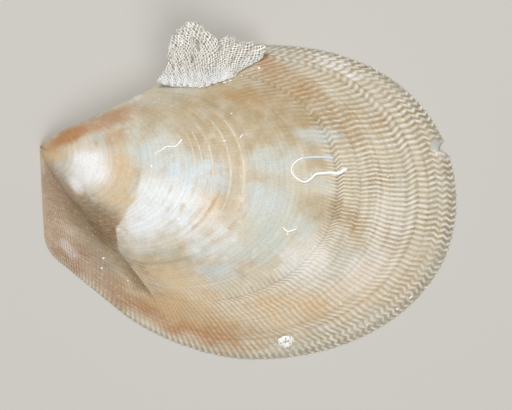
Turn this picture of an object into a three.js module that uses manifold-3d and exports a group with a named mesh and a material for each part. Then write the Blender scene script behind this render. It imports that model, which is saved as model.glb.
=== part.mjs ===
// A fossil file clam: one valve lying on its rim, hollow side down, with what settled on it.
// A valve grows by adding to its rim, so every old rim is a smaller copy of the last one, shrunk
// towards the beak and turned up about the hinge line. The whole valve is built from such rims.
import * as THREE from 'three';
import { mergeVertices } from 'three/addons/utils/BufferGeometryUtils.js';
import Module from 'manifold-3d';

const wasm = await Module();
wasm.setup();

// Driving dimensions, in millimetres. Places are measured from the tip of the beak, with the rim
// in the plane Z = 0, X towards the lower edge of the shell and Y towards its front.
const ANTERIOR_END = new THREE.Vector2(32.5, 16.7);
const ANTERIOR_TOP = new THREE.Vector2(68.2, 30.5);
const VENTRAL_TIP = new THREE.Vector2(124.9, -16.6);
const POSTERIOR_BOTTOM = new THREE.Vector2(64.4, -63.7);
const POSTERIOR_END = new THREE.Vector2(24.5, -49.7);
const EAR_START = new THREE.Vector2(5.8, -34.4);
const EAR_CORNER = new THREE.Vector2(2.2, -31.8);
const HINGE_END = new THREE.Vector2(1.3, -27);
const RIM_STEPS = 90;
const FULL_TURN_UP = 1.4;

// The straight runs along the front edge and the hinge: their steps, and the share of a row's
// way round that each takes
const STRAIGHT_STEPS = 5;
const STRAIGHT_SHARE = 0.06;

const RIB_COUNT = 136;
const RIB_HEIGHT = 0.3;
const RIBS_START = 0.73;
const LUNULE_DEPTH = 1.1;
const FOLD_ANGLE = -61;
const FOLD_WIDTH = 17;
const FOLD_SHARE = 6.5;

// The flat rim's width, the wall at the beak, and how far from the hinge line the hollow starts
const RIM_WIDTH = 2.3;
const WALL = 4.2;
const HINGE_PLATE = 4.2;
const BELOW_RIM = -2;
const CAVITY_CENTRE = new THREE.Vector2(62, -18);
const CAVITY_STAGES = [1, 0.9, 0.78, 0.66, 0.54, 0.42, 0.32, 0.23, 0.17, 0.13];

const CHIP_CENTRE = new THREE.Vector2(121.7, -0.1);
const CHIP_RADIUS = 2.0;
const CHIP_SIDES = 9;
const CHIP_HEIGHT = 8;
const LIGAMENT_PIT = [[1.4, -2.2], [3.9, -3.6], [3.9, -11.5]];
const LIGAMENT_DEPTH = 1.2;

// The room between the shell and what settled on it, and the height of shell over which
// enlarging the shell gives that room
const GROWTH_GAP = 0.3;
const GAP_REACH = 25;
const LACE_THICKNESS = 1.3;
const BUTTON_PLACE = [73.8, -58.2];
const BUTTON_PROFILE = [[0, 0], [2.3, 0], [2.7, 0.35], [2.2, 1], [1.6, 1.05], [1.1, 0.6], [0, 0.6]];
const TUBE_SIDES = 6;

// The middle of the whole thing's outline, which is put over the origin
const OUTLINE_MIDDLE = new THREE.Vector3(62.5, -13.5, 0);

// Stages of growth, as a share of the full size: the beak, the smooth early shell with its three
// ledges, and the ribbed outer shell, whose ribs shift sideways at each halt by the given share
// of the space between two ribs
const SMOOTH_STAGES = [
  0.012, 0.03, 0.06, 0.1, 0.15, 0.21, 0.27, 0.285, 0.36, 0.44, 0.455, 0.53, 0.545, 0.64,
];
const RIB_HALTS = [
  [0.73, -0.9], [0.775, -0.1], [0.812, 0.2], [0.843, -0.3],
  [0.883, -0.3], [0.907, 0.7], [0.958, 1.1], [1, 0.1],
];
const LEDGES = [{ stage: 0.278, drop: 0.5 }, { stage: 0.448, drop: 0.45 }, { stage: 0.538, drop: 0.55 }];

// The rim's outline

// A rounded stretch that leaves one point and reaches the next in given directions, and holds
// each direction for a given length
function bend(path, from, leaving, to, arriving, heldFrom, heldTo) {
  const first = from.clone().addScaledVector(leaving, heldFrom);
  const second = to.clone().addScaledVector(arriving, -heldTo);
  path.bezierCurveTo(first.x, first.y, second.x, second.y, to.x, to.y);
}

function rimPath() {
  const alongFront = ANTERIOR_END.clone().normalize();
  const alongEar = EAR_START.clone().sub(POSTERIOR_END).normalize();
  const outwards = new THREE.Vector2(1, 0);
  const inwards = new THREE.Vector2(-1, 0);
  const backwards = new THREE.Vector2(0, -1);
  const path = new THREE.Path();
  path.moveTo(ANTERIOR_END.x, ANTERIOR_END.y);
  bend(path, ANTERIOR_END, alongFront, ANTERIOR_TOP, outwards, 16, 16.5);
  bend(path, ANTERIOR_TOP, outwards, VENTRAL_TIP, backwards, 36, 26.3);
  bend(path, VENTRAL_TIP, backwards, POSTERIOR_BOTTOM, inwards, 28, 33.6);
  bend(path, POSTERIOR_BOTTOM, inwards, POSTERIOR_END, alongEar, 16, 8.8);
  path.lineTo(EAR_START.x, EAR_START.y);
  path.quadraticCurveTo(EAR_CORNER.x, EAR_CORNER.y, HINGE_END.x, HINGE_END.y);
  return path;
}

function signedAngle(point) {
  const angle = point.angle();
  return angle > Math.PI ? angle - 2 * Math.PI : angle;
}

const RIM_POINTS = rimPath().getPoints(RIM_STEPS);
const RIM_ANGLES = RIM_POINTS.map(signedAngle);
const FRONT_ANGLE = RIM_ANGLES[0];
const HINGE_ANGLE = RIM_ANGLES[RIM_ANGLES.length - 1];

// The rim's point in a direction from the beak, with the outward direction across the rim there
function rimAt(angle) {
  let after = RIM_ANGLES.findIndex((value) => value <= angle + 1e-9);
  after = after < 1 ? (after === 0 ? 1 : RIM_ANGLES.length - 1) : after;
  const share = (RIM_ANGLES[after - 1] - angle) / (RIM_ANGLES[after - 1] - RIM_ANGLES[after]);
  const point = RIM_POINTS[after - 1].clone().lerp(RIM_POINTS[after], THREE.MathUtils.clamp(share, 0, 1));
  const along = RIM_POINTS[after].clone().sub(RIM_POINTS[after - 1]).normalize();
  return { point, across: new THREE.Vector2(-along.y, along.x) };
}

// Growth

function turnUp(stage) {
  return FULL_TURN_UP * (1 - Math.sqrt(stage));
}

// A point of the flat rim of one stage, turned up about the hinge line to where that rim stood
function standUp(stage, flat) {
  const turn = turnUp(stage);
  return new THREE.Vector3(flat.x * Math.cos(turn), flat.y, flat.x * Math.sin(turn));
}

function smooth(from, to, value) {
  return THREE.MathUtils.smoothstep(value, from, to);
}

// The share of the way round, from the front edge to the hinge
function wayRound(angle) {
  return (FRONT_ANGLE - angle) / (FRONT_ANGLE - HINGE_ANGLE);
}

// How far the hollow fold behind the ear draws the surface in: nothing at the rim itself
function foldDepth(stage, angle) {
  const away = Math.abs(THREE.MathUtils.radToDeg(angle) - FOLD_ANGLE) / FOLD_WIDTH;
  const across = away < 1 ? 0.5 + 0.5 * Math.cos(Math.PI * away) : 0;
  return FOLD_SHARE * stage * across * (1 - smooth(0.5, 1, stage));
}

// How far the shallow hollow along the front edge draws the surface in
function lunuleDepth(stage, angle) {
  const nearFront = 1 - smooth(0, 0.14, wayRound(angle));
  return LUNULE_DEPTH * nearFront * smooth(0.05, 0.35, stage) * (1 - smooth(0.4, 0.8, stage));
}

// Each halt left a ledge, lost near the front edge and the hinge: the surface swells up to it
// and drops just after
function ledgeHeight(stage, angle) {
  const shown = smooth(0, 0.12, wayRound(angle)) * (1 - smooth(0.85, 1, wayRound(angle)));
  let height = 0;
  for (const { stage: at, drop } of LEDGES) {
    height += stage < at ? drop * smooth(at - 0.09, at, stage) : 0;
  }
  return height * shown;
}

function outerPoint(stage, angle, relief) {
  const { point, across } = rimAt(angle);
  const flat = point.multiplyScalar(stage);
  const drawnIn = foldDepth(stage, angle) + lunuleDepth(stage, angle);
  flat.addScaledVector(across, relief + ledgeHeight(stage, angle) - drawnIn);
  return standUp(stage, flat);
}

// One old rim: a straight run from the beak along the front edge, the ribbed stretch, and the
// straight hinge back to the beak. Every point has its share of the way round.
function outerRing(stage, columns, relief, shift) {
  const ring = [];
  const ribAngle = (FRONT_ANGLE - HINGE_ANGLE) / RIB_COUNT;
  for (let i = 1; i < STRAIGHT_STEPS; i++) {
    const share = i / STRAIGHT_STEPS;
    const flat = ANTERIOR_END.clone().multiplyScalar(stage * share);
    flat.addScaledVector(rimAt(FRONT_ANGLE).across, -share * lunuleDepth(stage, FRONT_ANGLE));
    ring.push({ share: STRAIGHT_SHARE * share, at: standUp(stage, flat) });
  }
  for (let i = 0; i <= columns; i++) {
    const share = i / columns;
    const held = smooth(0, 0.06, share) * (1 - smooth(0.94, 1, share));
    const angle = FRONT_ANGLE + (HINGE_ANGLE - FRONT_ANGLE) * share + shift * ribAngle * held;
    const crest = i % 2 === 0 ? relief : -relief;
    const roundShare = STRAIGHT_SHARE + (1 - 2 * STRAIGHT_SHARE) * share;
    ring.push({ share: roundShare, at: outerPoint(stage, angle, crest * held) });
  }
  for (let i = 1; i < STRAIGHT_STEPS; i++) {
    const share = 1 - i / STRAIGHT_STEPS;
    const flat = HINGE_END.clone().multiplyScalar(stage * share);
    ring.push({ share: 1 - STRAIGHT_SHARE * share, at: standUp(stage, flat) });
  }
  return ring;
}

// Closed meshes from rings of points

class ClosedMesh {
  constructor() {
    this.positions = [];
    this.indices = [];
  }

  point(at) {
    this.positions.push(at.x, at.y, at.z);
    return this.positions.length / 3 - 1;
  }

  // Joins two rows of points whose counts may differ, always stepping along the row that lags
  stitch(lower, upper) {
    let i = 0;
    let j = 0;
    while (i < lower.length - 1 || j < upper.length - 1) {
      const lowerShare = i < lower.length - 1 ? lower[i + 1].share : Infinity;
      const upperShare = j < upper.length - 1 ? upper[j + 1].share : Infinity;
      if (lowerShare <= upperShare + 1e-9) {
        this.triangle(lower[i].index, lower[i + 1].index, upper[j].index);
        i += 1;
      } else {
        this.triangle(lower[i].index, upper[j + 1].index, upper[j].index);
        j += 1;
      }
    }
  }

  // Rows that share an end point would leave a triangle with two corners in one place there
  triangle(a, b, c) {
    if (a !== b && b !== c && c !== a) {
      this.indices.push(a, b, c);
    }
  }

  // Closes a row of points on one apex
  fan(apex, row, flipped) {
    for (let i = 0; i < row.length - 1; i++) {
      const ends = flipped ? [row[i + 1].index, row[i].index] : [row[i].index, row[i + 1].index];
      this.indices.push(apex, ...ends);
    }
  }

  geometry() {
    const geometry = new THREE.BufferGeometry();
    geometry.setAttribute('position', new THREE.Float32BufferAttribute(this.positions, 3));
    geometry.setIndex(this.indices);
    return geometry;
  }
}

function toSolid(geometry) {
  const bare = geometry.clone();
  bare.deleteAttribute('normal');
  bare.deleteAttribute('uv');
  const merged = mergeVertices(bare, 1e-4);
  return new wasm.Manifold(new wasm.Mesh({
    numProp: 3,
    vertProperties: new Float32Array(merged.attributes.position.array),
    triVerts: new Uint32Array(merged.index.array),
  }));
}

function toGeometry(solid) {
  const mesh = solid.getMesh();
  const geometry = new THREE.BufferGeometry();
  geometry.setAttribute('position', new THREE.BufferAttribute(mesh.vertProperties, 3));
  geometry.setIndex(new THREE.BufferAttribute(mesh.triVerts, 1));
  geometry.computeVertexNormals();
  return geometry;
}

// The valve

// The valve as if it were solid all through: its outer face, ribbed or not, over a flat underside
function outerForm(ribbed) {
  const mesh = new ClosedMesh();
  const beak = mesh.point(new THREE.Vector3());
  const rows = [];
  for (const stage of SMOOTH_STAGES) {
    rows.push(outerRing(stage, RIB_COUNT / 2, 0, 0));
  }
  for (const [stage, shift] of RIB_HALTS) {
    const height = ribbed ? RIB_HEIGHT * smooth(RIBS_START - 0.05, 0.85, stage) : 0;
    const columns = ribbed ? RIB_COUNT * 2 : RIB_COUNT / 2;
    rows.push(outerRing(stage, columns, height, ribbed ? shift : 0));
  }
  const indexed = rows.map((row) => {
    const points = row.map(({ share, at }) => ({ share, index: mesh.point(at) }));
    return [{ share: 0, index: beak }, ...points, { share: 1, index: beak }];
  });
  for (let i = 0; i < indexed.length - 1; i++) {
    mesh.stitch(indexed[i], indexed[i + 1]);
  }
  mesh.fan(beak, indexed[0].slice(1, -1), true);
  mesh.fan(beak, indexed[indexed.length - 1].slice(1, -1), false);
  return toSolid(mesh.geometry());
}

// The hollow inside: the same old rims, each drawn in by the wall and kept off the hinge line
function cavityRing(stage, columns) {
  const outline = [];
  for (let i = 1; i < STRAIGHT_STEPS; i++) {
    outline.push(ANTERIOR_END.clone().multiplyScalar((stage * i) / STRAIGHT_STEPS));
  }
  for (let i = 0; i <= columns; i++) {
    const angle = FRONT_ANGLE + ((HINGE_ANGLE - FRONT_ANGLE) * i) / columns;
    const { point, across } = rimAt(angle);
    outline.push(point.multiplyScalar(stage).addScaledVector(across, -foldDepth(stage, angle)));
  }
  for (let i = STRAIGHT_STEPS - 1; i > 0; i--) {
    outline.push(HINGE_END.clone().multiplyScalar((stage * i) / STRAIGHT_STEPS));
  }
  const centre = CAVITY_CENTRE.clone().multiplyScalar(stage);
  const thickness = THREE.MathUtils.lerp(WALL, RIM_WIDTH, smooth(0.8, 1, stage));
  return outline.map((point, i) => {
    const inset = point.addScaledVector(centre.clone().sub(point).normalize(), thickness);
    inset.x = Math.max(inset.x, HINGE_PLATE);
    return { share: i / outline.length, at: standUp(stage, inset) };
  });
}

function cavityForm() {
  const mesh = new ClosedMesh();
  const columns = RIB_COUNT / 2;
  const below = cavityRing(1, columns).map(({ share, at }) => ({ share, at: at.clone().setZ(BELOW_RIM) }));
  const rows = [below, ...CAVITY_STAGES.map((stage) => cavityRing(stage, columns))];
  const indexed = rows.map((row) => {
    const points = row.map(({ share, at }) => ({ share, index: mesh.point(at) }));
    return [...points, { share: 1, index: points[0].index }];
  });
  for (let i = 0; i < indexed.length - 1; i++) {
    mesh.stitch(indexed[i + 1], indexed[i]);
  }
  const lastStage = CAVITY_STAGES[CAVITY_STAGES.length - 1];
  const floorMiddle = mesh.point(new THREE.Vector3(CAVITY_CENTRE.x, CAVITY_CENTRE.y, BELOW_RIM));
  const endMiddle = mesh.point(standUp(lastStage, CAVITY_CENTRE.clone().multiplyScalar(lastStage)));
  mesh.fan(floorMiddle, indexed[0], false);
  mesh.fan(endMiddle, indexed[indexed.length - 1], true);
  return toSolid(mesh.geometry());
}

// A straight-sided cutter standing on an outline
function cutter(points, top) {
  const shape = new THREE.Shape(points);
  const geometry = new THREE.ExtrudeGeometry(shape, { depth: top - BELOW_RIM, bevelEnabled: false });
  geometry.translate(0, 0, BELOW_RIM);
  return toSolid(geometry);
}

// The bite broken out of the lower edge, a little ragged
function chipForm() {
  const points = [];
  for (let i = 0; i < CHIP_SIDES; i++) {
    const radius = CHIP_RADIUS * (i % 2 === 0 ? 1 : 0.9);
    const corner = new THREE.Vector2(radius, 0);
    corner.rotateAround(new THREE.Vector2(), (2 * Math.PI * i) / CHIP_SIDES);
    points.push(corner.add(CHIP_CENTRE));
  }
  return cutter(points, CHIP_HEIGHT);
}

// The three-cornered pit for the ligament, in the hinge plate under the beak
function ligamentPit() {
  return cutter(LIGAMENT_PIT.map(([x, y]) => new THREE.Vector2(x, y)), LIGAMENT_DEPTH);
}

function valve() {
  const solid = outerForm(true).subtract(cavityForm()).subtract(chipForm()).subtract(ligamentPit());
  return toGeometry(solid);
}

// What settled on the shell

// The place on the valve's outer face over a point seen from above, with the direction out of it
function surfaceAt(x, y) {
  let low = 0.05;
  let high = 1;
  for (let i = 0; i < 30; i++) {
    const stage = (low + high) / 2;
    const across = x / Math.cos(turnUp(stage));
    const angle = THREE.MathUtils.clamp(Math.atan2(y, across), HINGE_ANGLE, FRONT_ANGLE);
    const reach = rimAt(angle).point.length() * stage;
    if (reach > Math.hypot(across, y)) {
      high = stage;
    } else {
      low = stage;
    }
  }
  const stage = high;
  const angle = Math.atan2(y, x / Math.cos(turnUp(stage)));
  const at = outerPoint(stage, angle, 0);
  const step = 0.01;
  const along = outerPoint(Math.min(1, stage + step), angle, 0).sub(outerPoint(stage - step, angle, 0));
  const around = outerPoint(stage, angle + step, 0).sub(outerPoint(stage, angle - step, 0));
  return { at, out: along.cross(around).normalize(), stage };
}

// A worm's tube lying on the shell, as a curve with a radius that changes along it
function tubeOnShell(places, radii, steps) {
  const riders = places.map(([x, y], i) => {
    const { at, out } = surfaceAt(x, y);
    return at.addScaledVector(out, radii[i] + GROWTH_GAP + RIB_HEIGHT);
  });
  const curve = new THREE.CatmullRomCurve3(riders);
  const frames = curve.computeFrenetFrames(steps, false);
  const mesh = new ClosedMesh();
  const rows = [];
  for (let i = 0; i <= steps; i++) {
    const share = (i / steps) * (radii.length - 1);
    const whole = Math.min(Math.floor(share), radii.length - 2);
    const radius = THREE.MathUtils.lerp(radii[whole], radii[whole + 1], share - whole);
    const centre = curve.getPoint(i / steps);
    const row = [];
    for (let j = 0; j < TUBE_SIDES; j++) {
      const angle = (2 * Math.PI * j) / TUBE_SIDES;
      const at = centre.clone();
      at.addScaledVector(frames.normals[i], radius * Math.cos(angle));
      at.addScaledVector(frames.binormals[i], radius * Math.sin(angle));
      row.push({ share: j / TUBE_SIDES, index: mesh.point(at) });
    }
    rows.push([...row, { share: 1, index: row[0].index }]);
  }
  for (let i = 0; i < steps; i++) {
    mesh.stitch(rows[i], rows[i + 1]);
  }
  mesh.fan(mesh.point(curve.getPoint(0)), rows[0], true);
  mesh.fan(mesh.point(curve.getPoint(1)), rows[steps], false);
  return mesh.geometry();
}

function largeTube() {
  const places = [
    [87, -3.3], [78, -3.4], [75.6, -5.6], [75.4, -8.2], [77.6, -10.4], [80.6, -9.9], [83.2, -8.1],
    [87.2, -8], [90, -7.8], [91.5, -6],
  ];
  const radii = [0.4, 0.4, 0.25, 0.25, 0.3, 0.3, 0.35, 0.45, 0.5, 0.55];
  return tubeOnShell(places, radii, 30);
}

function smallTube() {
  const places = [[43, 1.9], [41.2, -0.1], [38.5, -0.2], [37.1, -1.2], [34.8, -2.3]];
  return tubeOnShell(places, [0.3, 0.3, 0.25, 0.25, 0.2], 12);
}

// A broken crumb of tube: a bent piece with a short arm
function tubeCrumb() {
  const bent = tubeOnShell([[72.6, -23.9], [74.2, -25.1], [76.8, -24.4]], [0.3, 0.3, 0.25], 6);
  const arm = tubeOnShell([[74.2, -25.1], [74, -26.4]], [0.3, 0.2], 2);
  return toGeometry(toSolid(bent).add(toSolid(arm)));
}

// A young button-shaped colony: a raised ring round a shallow dish, lying flat on the shell
function buttonColony() {
  const { at, out } = surfaceAt(...BUTTON_PLACE);
  const profile = BUTTON_PROFILE.map(([radius, height]) => new THREE.Vector2(radius, height));
  const geometry = new THREE.LatheGeometry(profile, 14);
  const stand = new THREE.Quaternion().setFromUnitVectors(new THREE.Vector3(0, 1, 0), out);
  geometry.applyQuaternion(stand);
  const lifted = at.addScaledVector(out, 1.5 * GROWTH_GAP + RIB_HEIGHT);
  geometry.translate(lifted.x, lifted.y, lifted.z);
  return geometry;
}

// The room that a growth leaves for the shell under it: the smooth outer form, a little larger
function shellWithGap() {
  const larger = 1 + GROWTH_GAP / GAP_REACH;
  const { x, y } = CAVITY_CENTRE;
  const aboutOrigin = outerForm(false).translate(-x, -y, 0);
  return aboutOrigin.scale([larger, larger, larger]).translate(x, y, GROWTH_GAP / 2);
}

// A frond of a lace colony: a folded sheet whose foot follows the shell and whose edge is free.
// The foot and the edge are seen from above, and the edge is raised by the given height.
function laceFrond({ foot, edge, rise, folds, foldDepth: depth, columns, rows }) {
  const footCurve = new THREE.CatmullRomCurve3(foot.map(([x, y]) => {
    const { at, out } = surfaceAt(x, y);
    return at.addScaledVector(out, LACE_THICKNESS / 4);
  }));
  const edgeCurve = new THREE.CatmullRomCurve3(edge.map(([x, y]) => new THREE.Vector3(x, y, 0)));
  const sheet = (u, v) => {
    const low = footCurve.getPoint(u);
    const high = edgeCurve.getPoint(u);
    high.z = low.z + rise * (0.55 + 0.45 * Math.sin(Math.PI * u));
    const at = low.clone().lerp(high, v);
    at.z += depth * v * Math.sin(2 * Math.PI * folds * u);
    return at;
  };
  const mesh = new ClosedMesh();
  const across = (u, v, side) => {
    const step = 0.01;
    const du = sheet(Math.min(u + step, 1), v).sub(sheet(Math.max(u - step, 0), v));
    const dv = sheet(u, Math.min(v + step, 1)).sub(sheet(u, Math.max(v - step, 0)));
    return sheet(u, v).addScaledVector(du.cross(dv).normalize(), (side * LACE_THICKNESS) / 2);
  };
  const loops = [];
  for (let i = 0; i <= columns; i++) {
    const row = [];
    for (let j = 0; j <= rows; j++) {
      row.push(across(i / columns, j / rows, -1));
    }
    for (let j = rows; j >= 0; j--) {
      row.push(across(i / columns, j / rows, 1));
    }
    const indexed = row.map((at, n) => ({ share: n / row.length, index: mesh.point(at) }));
    loops.push([...indexed, { share: 1, index: indexed[0].index }]);
  }
  for (let i = 0; i < columns; i++) {
    mesh.stitch(loops[i], loops[i + 1]);
  }
  mesh.fan(mesh.point(sheet(0, 0.5)), loops[0], true);
  mesh.fan(mesh.point(sheet(1, 0.5)), loops[columns], false);
  return toGeometry(toSolid(mesh.geometry()).subtract(shellWithGap()));
}

const TALL_FROND = {
  foot: [[36.2, 17.2], [40.2, 17.8], [45.6, 17.9], [50, 17.8], [53.4, 19.2]],
  edge: [[38.2, 24], [38.6, 29.5], [41.4, 34.6], [45.9, 36.8], [50, 35.2], [52.6, 32.6], [53.6, 29.8]],
  rise: 9,
  folds: 2.5,
  foldDepth: 1,
  columns: 15,
  rows: 5,
};

const LOW_FROND = {
  foot: [[54.4, 19.7], [57.9, 20.6], [60.4, 22.6], [63.6, 24.2], [66.2, 25.8]],
  edge: [[54.6, 32.2], [56.6, 32.2], [57.6, 33], [59.4, 30.8], [62.6, 30.7], [66.8, 30.3]],
  rise: 6,
  folds: 2,
  foldDepth: 0.8,
  columns: 12,
  rows: 3,
};

// The finished thing

function part(name, geometry, colour, roughness) {
  geometry.computeVertexNormals();
  const material = new THREE.MeshStandardMaterial({ color: colour, roughness, metalness: 0 });
  const mesh = new THREE.Mesh(geometry, material);
  mesh.name = name;
  return mesh;
}

const group = new THREE.Group();
group.position.copy(OUTLINE_MIDDLE).negate();
group.add(
  part('valve', valve(), 0xd9cbb0, 0.55),
  part('lace_colony_tall_frond', laceFrond(TALL_FROND), 0xf0ebe0, 0.8),
  part('lace_colony_low_frond', laceFrond(LOW_FROND), 0xeee9dd, 0.8),
  part('button_colony', buttonColony(), 0xf2efe8, 0.8),
  part('worm_tube_large', largeTube(), 0xf5f3ee, 0.6),
  part('worm_tube_small', smallTube(), 0xf3efe6, 0.6),
  part('worm_tube_crumb', tubeCrumb(), 0xe9e2d6, 0.6),
);

export default group;
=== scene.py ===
"""Looks of a fossil file clam: one valve lying on its rim, with what settled on it.

Places are worked out in millimetres from the tip of the beak, with the rim in the plane Z = 0, X towards the
lower edge of the shell and Y towards its front. They go into the frame in metres, about the outline's middle.
A stage is a share of the valve's full size: the beak is stage 0 and the present rim is stage 1. Directions
from the beak are angles from X, positive towards the front. A pair that is named for where something starts,
fades or ends is a range for smooth().
"""

import logging
import math
import random
from dataclasses import dataclass, field
from enum import Enum
from functools import partial

import bpy
import numpy as np
from mathutils import Matrix, Vector, noise
from mathutils.bvhtree import BVHTree

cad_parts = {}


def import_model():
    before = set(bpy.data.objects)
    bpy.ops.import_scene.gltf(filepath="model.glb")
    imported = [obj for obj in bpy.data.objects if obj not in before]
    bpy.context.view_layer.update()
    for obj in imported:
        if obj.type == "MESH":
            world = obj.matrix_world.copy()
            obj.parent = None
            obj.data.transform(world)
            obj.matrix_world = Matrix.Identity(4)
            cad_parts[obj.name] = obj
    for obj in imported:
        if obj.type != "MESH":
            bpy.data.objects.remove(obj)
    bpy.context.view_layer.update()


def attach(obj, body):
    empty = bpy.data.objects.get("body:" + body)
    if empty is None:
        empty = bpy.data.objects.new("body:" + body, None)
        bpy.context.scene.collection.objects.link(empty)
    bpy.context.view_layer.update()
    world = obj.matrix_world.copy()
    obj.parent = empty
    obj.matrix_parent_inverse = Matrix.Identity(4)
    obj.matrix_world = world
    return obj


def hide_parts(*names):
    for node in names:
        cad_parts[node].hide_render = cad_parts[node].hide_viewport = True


LOG = logging.getLogger("file_clam")
MM = 0.001
OUTLINE_MIDDLE = np.array([62.5, -13.5, 0.0])
VALVE_MM = 126.0
WELD_M = 2e-6

Socket = bpy.types.NodeSocket
Piece = bpy.types.Object
Array = np.ndarray
Pair = tuple[float, float]
Trio = tuple[float, float, float]
Colour = tuple[float, float, float, float]
Row = tuple[Array, Array]
Faces = list[tuple[int, ...]]


def to_frame(places: Array) -> Array:
    """Turn places in millimetres from the beak into metres about the middle of the outline."""
    return (places - OUTLINE_MIDDLE) * MM


def from_frame(places: Array) -> Array:
    """Turn places in the frame into millimetres from the beak."""
    return places / MM + OUTLINE_MIDDLE


def linear(code: str) -> Colour:
    """Turn an sRGB hex code into a linear colour.

    Args:
        code: Six hex digits after a hash sign.

    Returns:
        Red, green, blue and an alpha of one.
    """
    parts = [int(code[i : i + 2], 16) / 255 for i in (1, 3, 5)]
    made = [c / 12.92 if c <= 0.04045 else ((c + 0.055) / 1.055) ** 2.4 for c in parts]
    return (made[0], made[1], made[2], 1.0)


def smooth(start: float, end: float, value: Array | float) -> Array | float:
    """Rise smoothly from nought at start to one at end, whichever of the two is the greater."""
    share = np.clip((np.asarray(value, float) - start) / (end - start), 0.0, 1.0)
    return share * share * (3 - 2 * share)


def rough(places: Array, grain: float, seed: float = 0.0) -> Array:
    """Sample soft noise, from about -1 to 1, at places and with lumps in millimetres."""
    shifted = places.reshape(-1, 3) / grain + seed
    return np.array([noise.noise(Vector(p)) for p in shifted]).reshape(places.shape[:-1])


def through(points: list[tuple[float, ...]], shares: Array) -> Array:
    """Follow a smooth line through given points.

    Args:
        points: The points that the line passes.
        shares: Where along it to look, from nought to one.

    Returns:
        A place on the line for each share.
    """
    known = np.array(points, float)
    padded = np.vstack([2 * known[0] - known[1], known, 2 * known[-1] - known[-2]])
    along = np.clip(shares, 0, 1) * (len(known) - 1)
    whole = np.minimum(along.astype(int), len(known) - 2)
    t = (along - whole)[:, None]
    a, b, c, d = (padded[whole + i] for i in range(4))
    bend = 2 * a - 5 * b + 4 * c - d
    twist = 3 * b - a - 3 * c + d
    return 0.5 * (2 * b + (c - a) * t + bend * t**2 + twist * t**3)


def deselect() -> None:
    """Leave no object selected."""
    bpy.ops.object.select_all(action="DESELECT")


def only(piece: Piece) -> None:
    """Make one object the only one selected and active.

    Args:
        piece: The object.
    """
    deselect()
    piece.select_set(True)
    bpy.context.view_layer.objects.active = piece


def join(parts: list[Piece], name: str) -> Piece:
    """Join objects into the first of them.

    Args:
        parts: The objects, each with its own mesh.
        name: The name of the joined piece.

    Returns:
        The joined piece.
    """
    only(parts[0])
    for part in parts:
        part.select_set(True)
    bpy.ops.object.join()
    parts[0].name = name
    parts[0].data.name = name
    return parts[0]


def apply_modifier(piece: Piece, kind: str, **settings: object) -> None:
    """Add a modifier with its settings, and apply it.

    Args:
        piece: The object that it works on.
        kind: The modifier's type.
        **settings: Its properties by name.
    """
    only(piece)
    made = piece.modifiers.new(kind.lower(), kind)
    for name, value in settings.items():
        setattr(made, name, value)
    bpy.ops.object.modifier_apply(modifier=made.name)


def new_object(name: str, places: Array, faces: Faces) -> Piece:
    """Make an object at the origin from places and faces, and make it the only one selected.

    Args:
        name: The name of the object and its mesh.
        places: Rows of X, Y, Z in millimetres from the beak.
        faces: The numbers of each face's corners.

    Returns:
        The new object.
    """
    mesh = bpy.data.meshes.new(name)
    mesh.from_pydata(to_frame(places), [], faces)
    made = bpy.data.objects.new(name, mesh)
    bpy.context.scene.collection.objects.link(made)
    only(made)
    return made


def turn_outwards(piece: Piece, weld: float = 0.0) -> None:
    """Merge a closed piece's doubles and turn its faces outwards.

    Args:
        piece: The object.
        weld: How near points are merged, in metres, or nought for none.
    """
    only(piece)
    bpy.ops.object.mode_set(mode="EDIT")
    bpy.ops.mesh.select_all(action="SELECT")
    if weld:
        bpy.ops.mesh.remove_doubles(threshold=weld)
    bpy.ops.mesh.normals_make_consistent(inside=False)
    bpy.ops.object.mode_set(mode="OBJECT")


def write_mask(mesh: bpy.types.Mesh, name: str, values: Array) -> None:
    """Write one value a point into a mesh, for a material to read."""
    mesh.attributes.new(name, "FLOAT", "POINT").data.foreach_set("value", values.astype(np.float32))


def corner_points(mesh: bpy.types.Mesh) -> Array:
    """List the number of the point that each corner of a mesh's faces stands on."""
    return np.array([loop.vertex_index for loop in mesh.loops])


def settle(piece: Piece, material: bpy.types.Material, slot: str, *nodes: str) -> None:
    """Dress a finished piece and tie it to the frame.

    Args:
        piece: The finished object, at the origin.
        material: Its finish, unless it has one already.
        slot: The record's material slot; not used.
        *nodes: The solids that it stands for.
    """
    if not piece.data.materials:
        piece.data.materials.append(material)
    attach(piece, "root")
    if nodes:
        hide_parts(*nodes)
    LOG.info("%s: %d faces", piece.name, len(piece.data.polygons))


# The valve's form, as it grew


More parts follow.
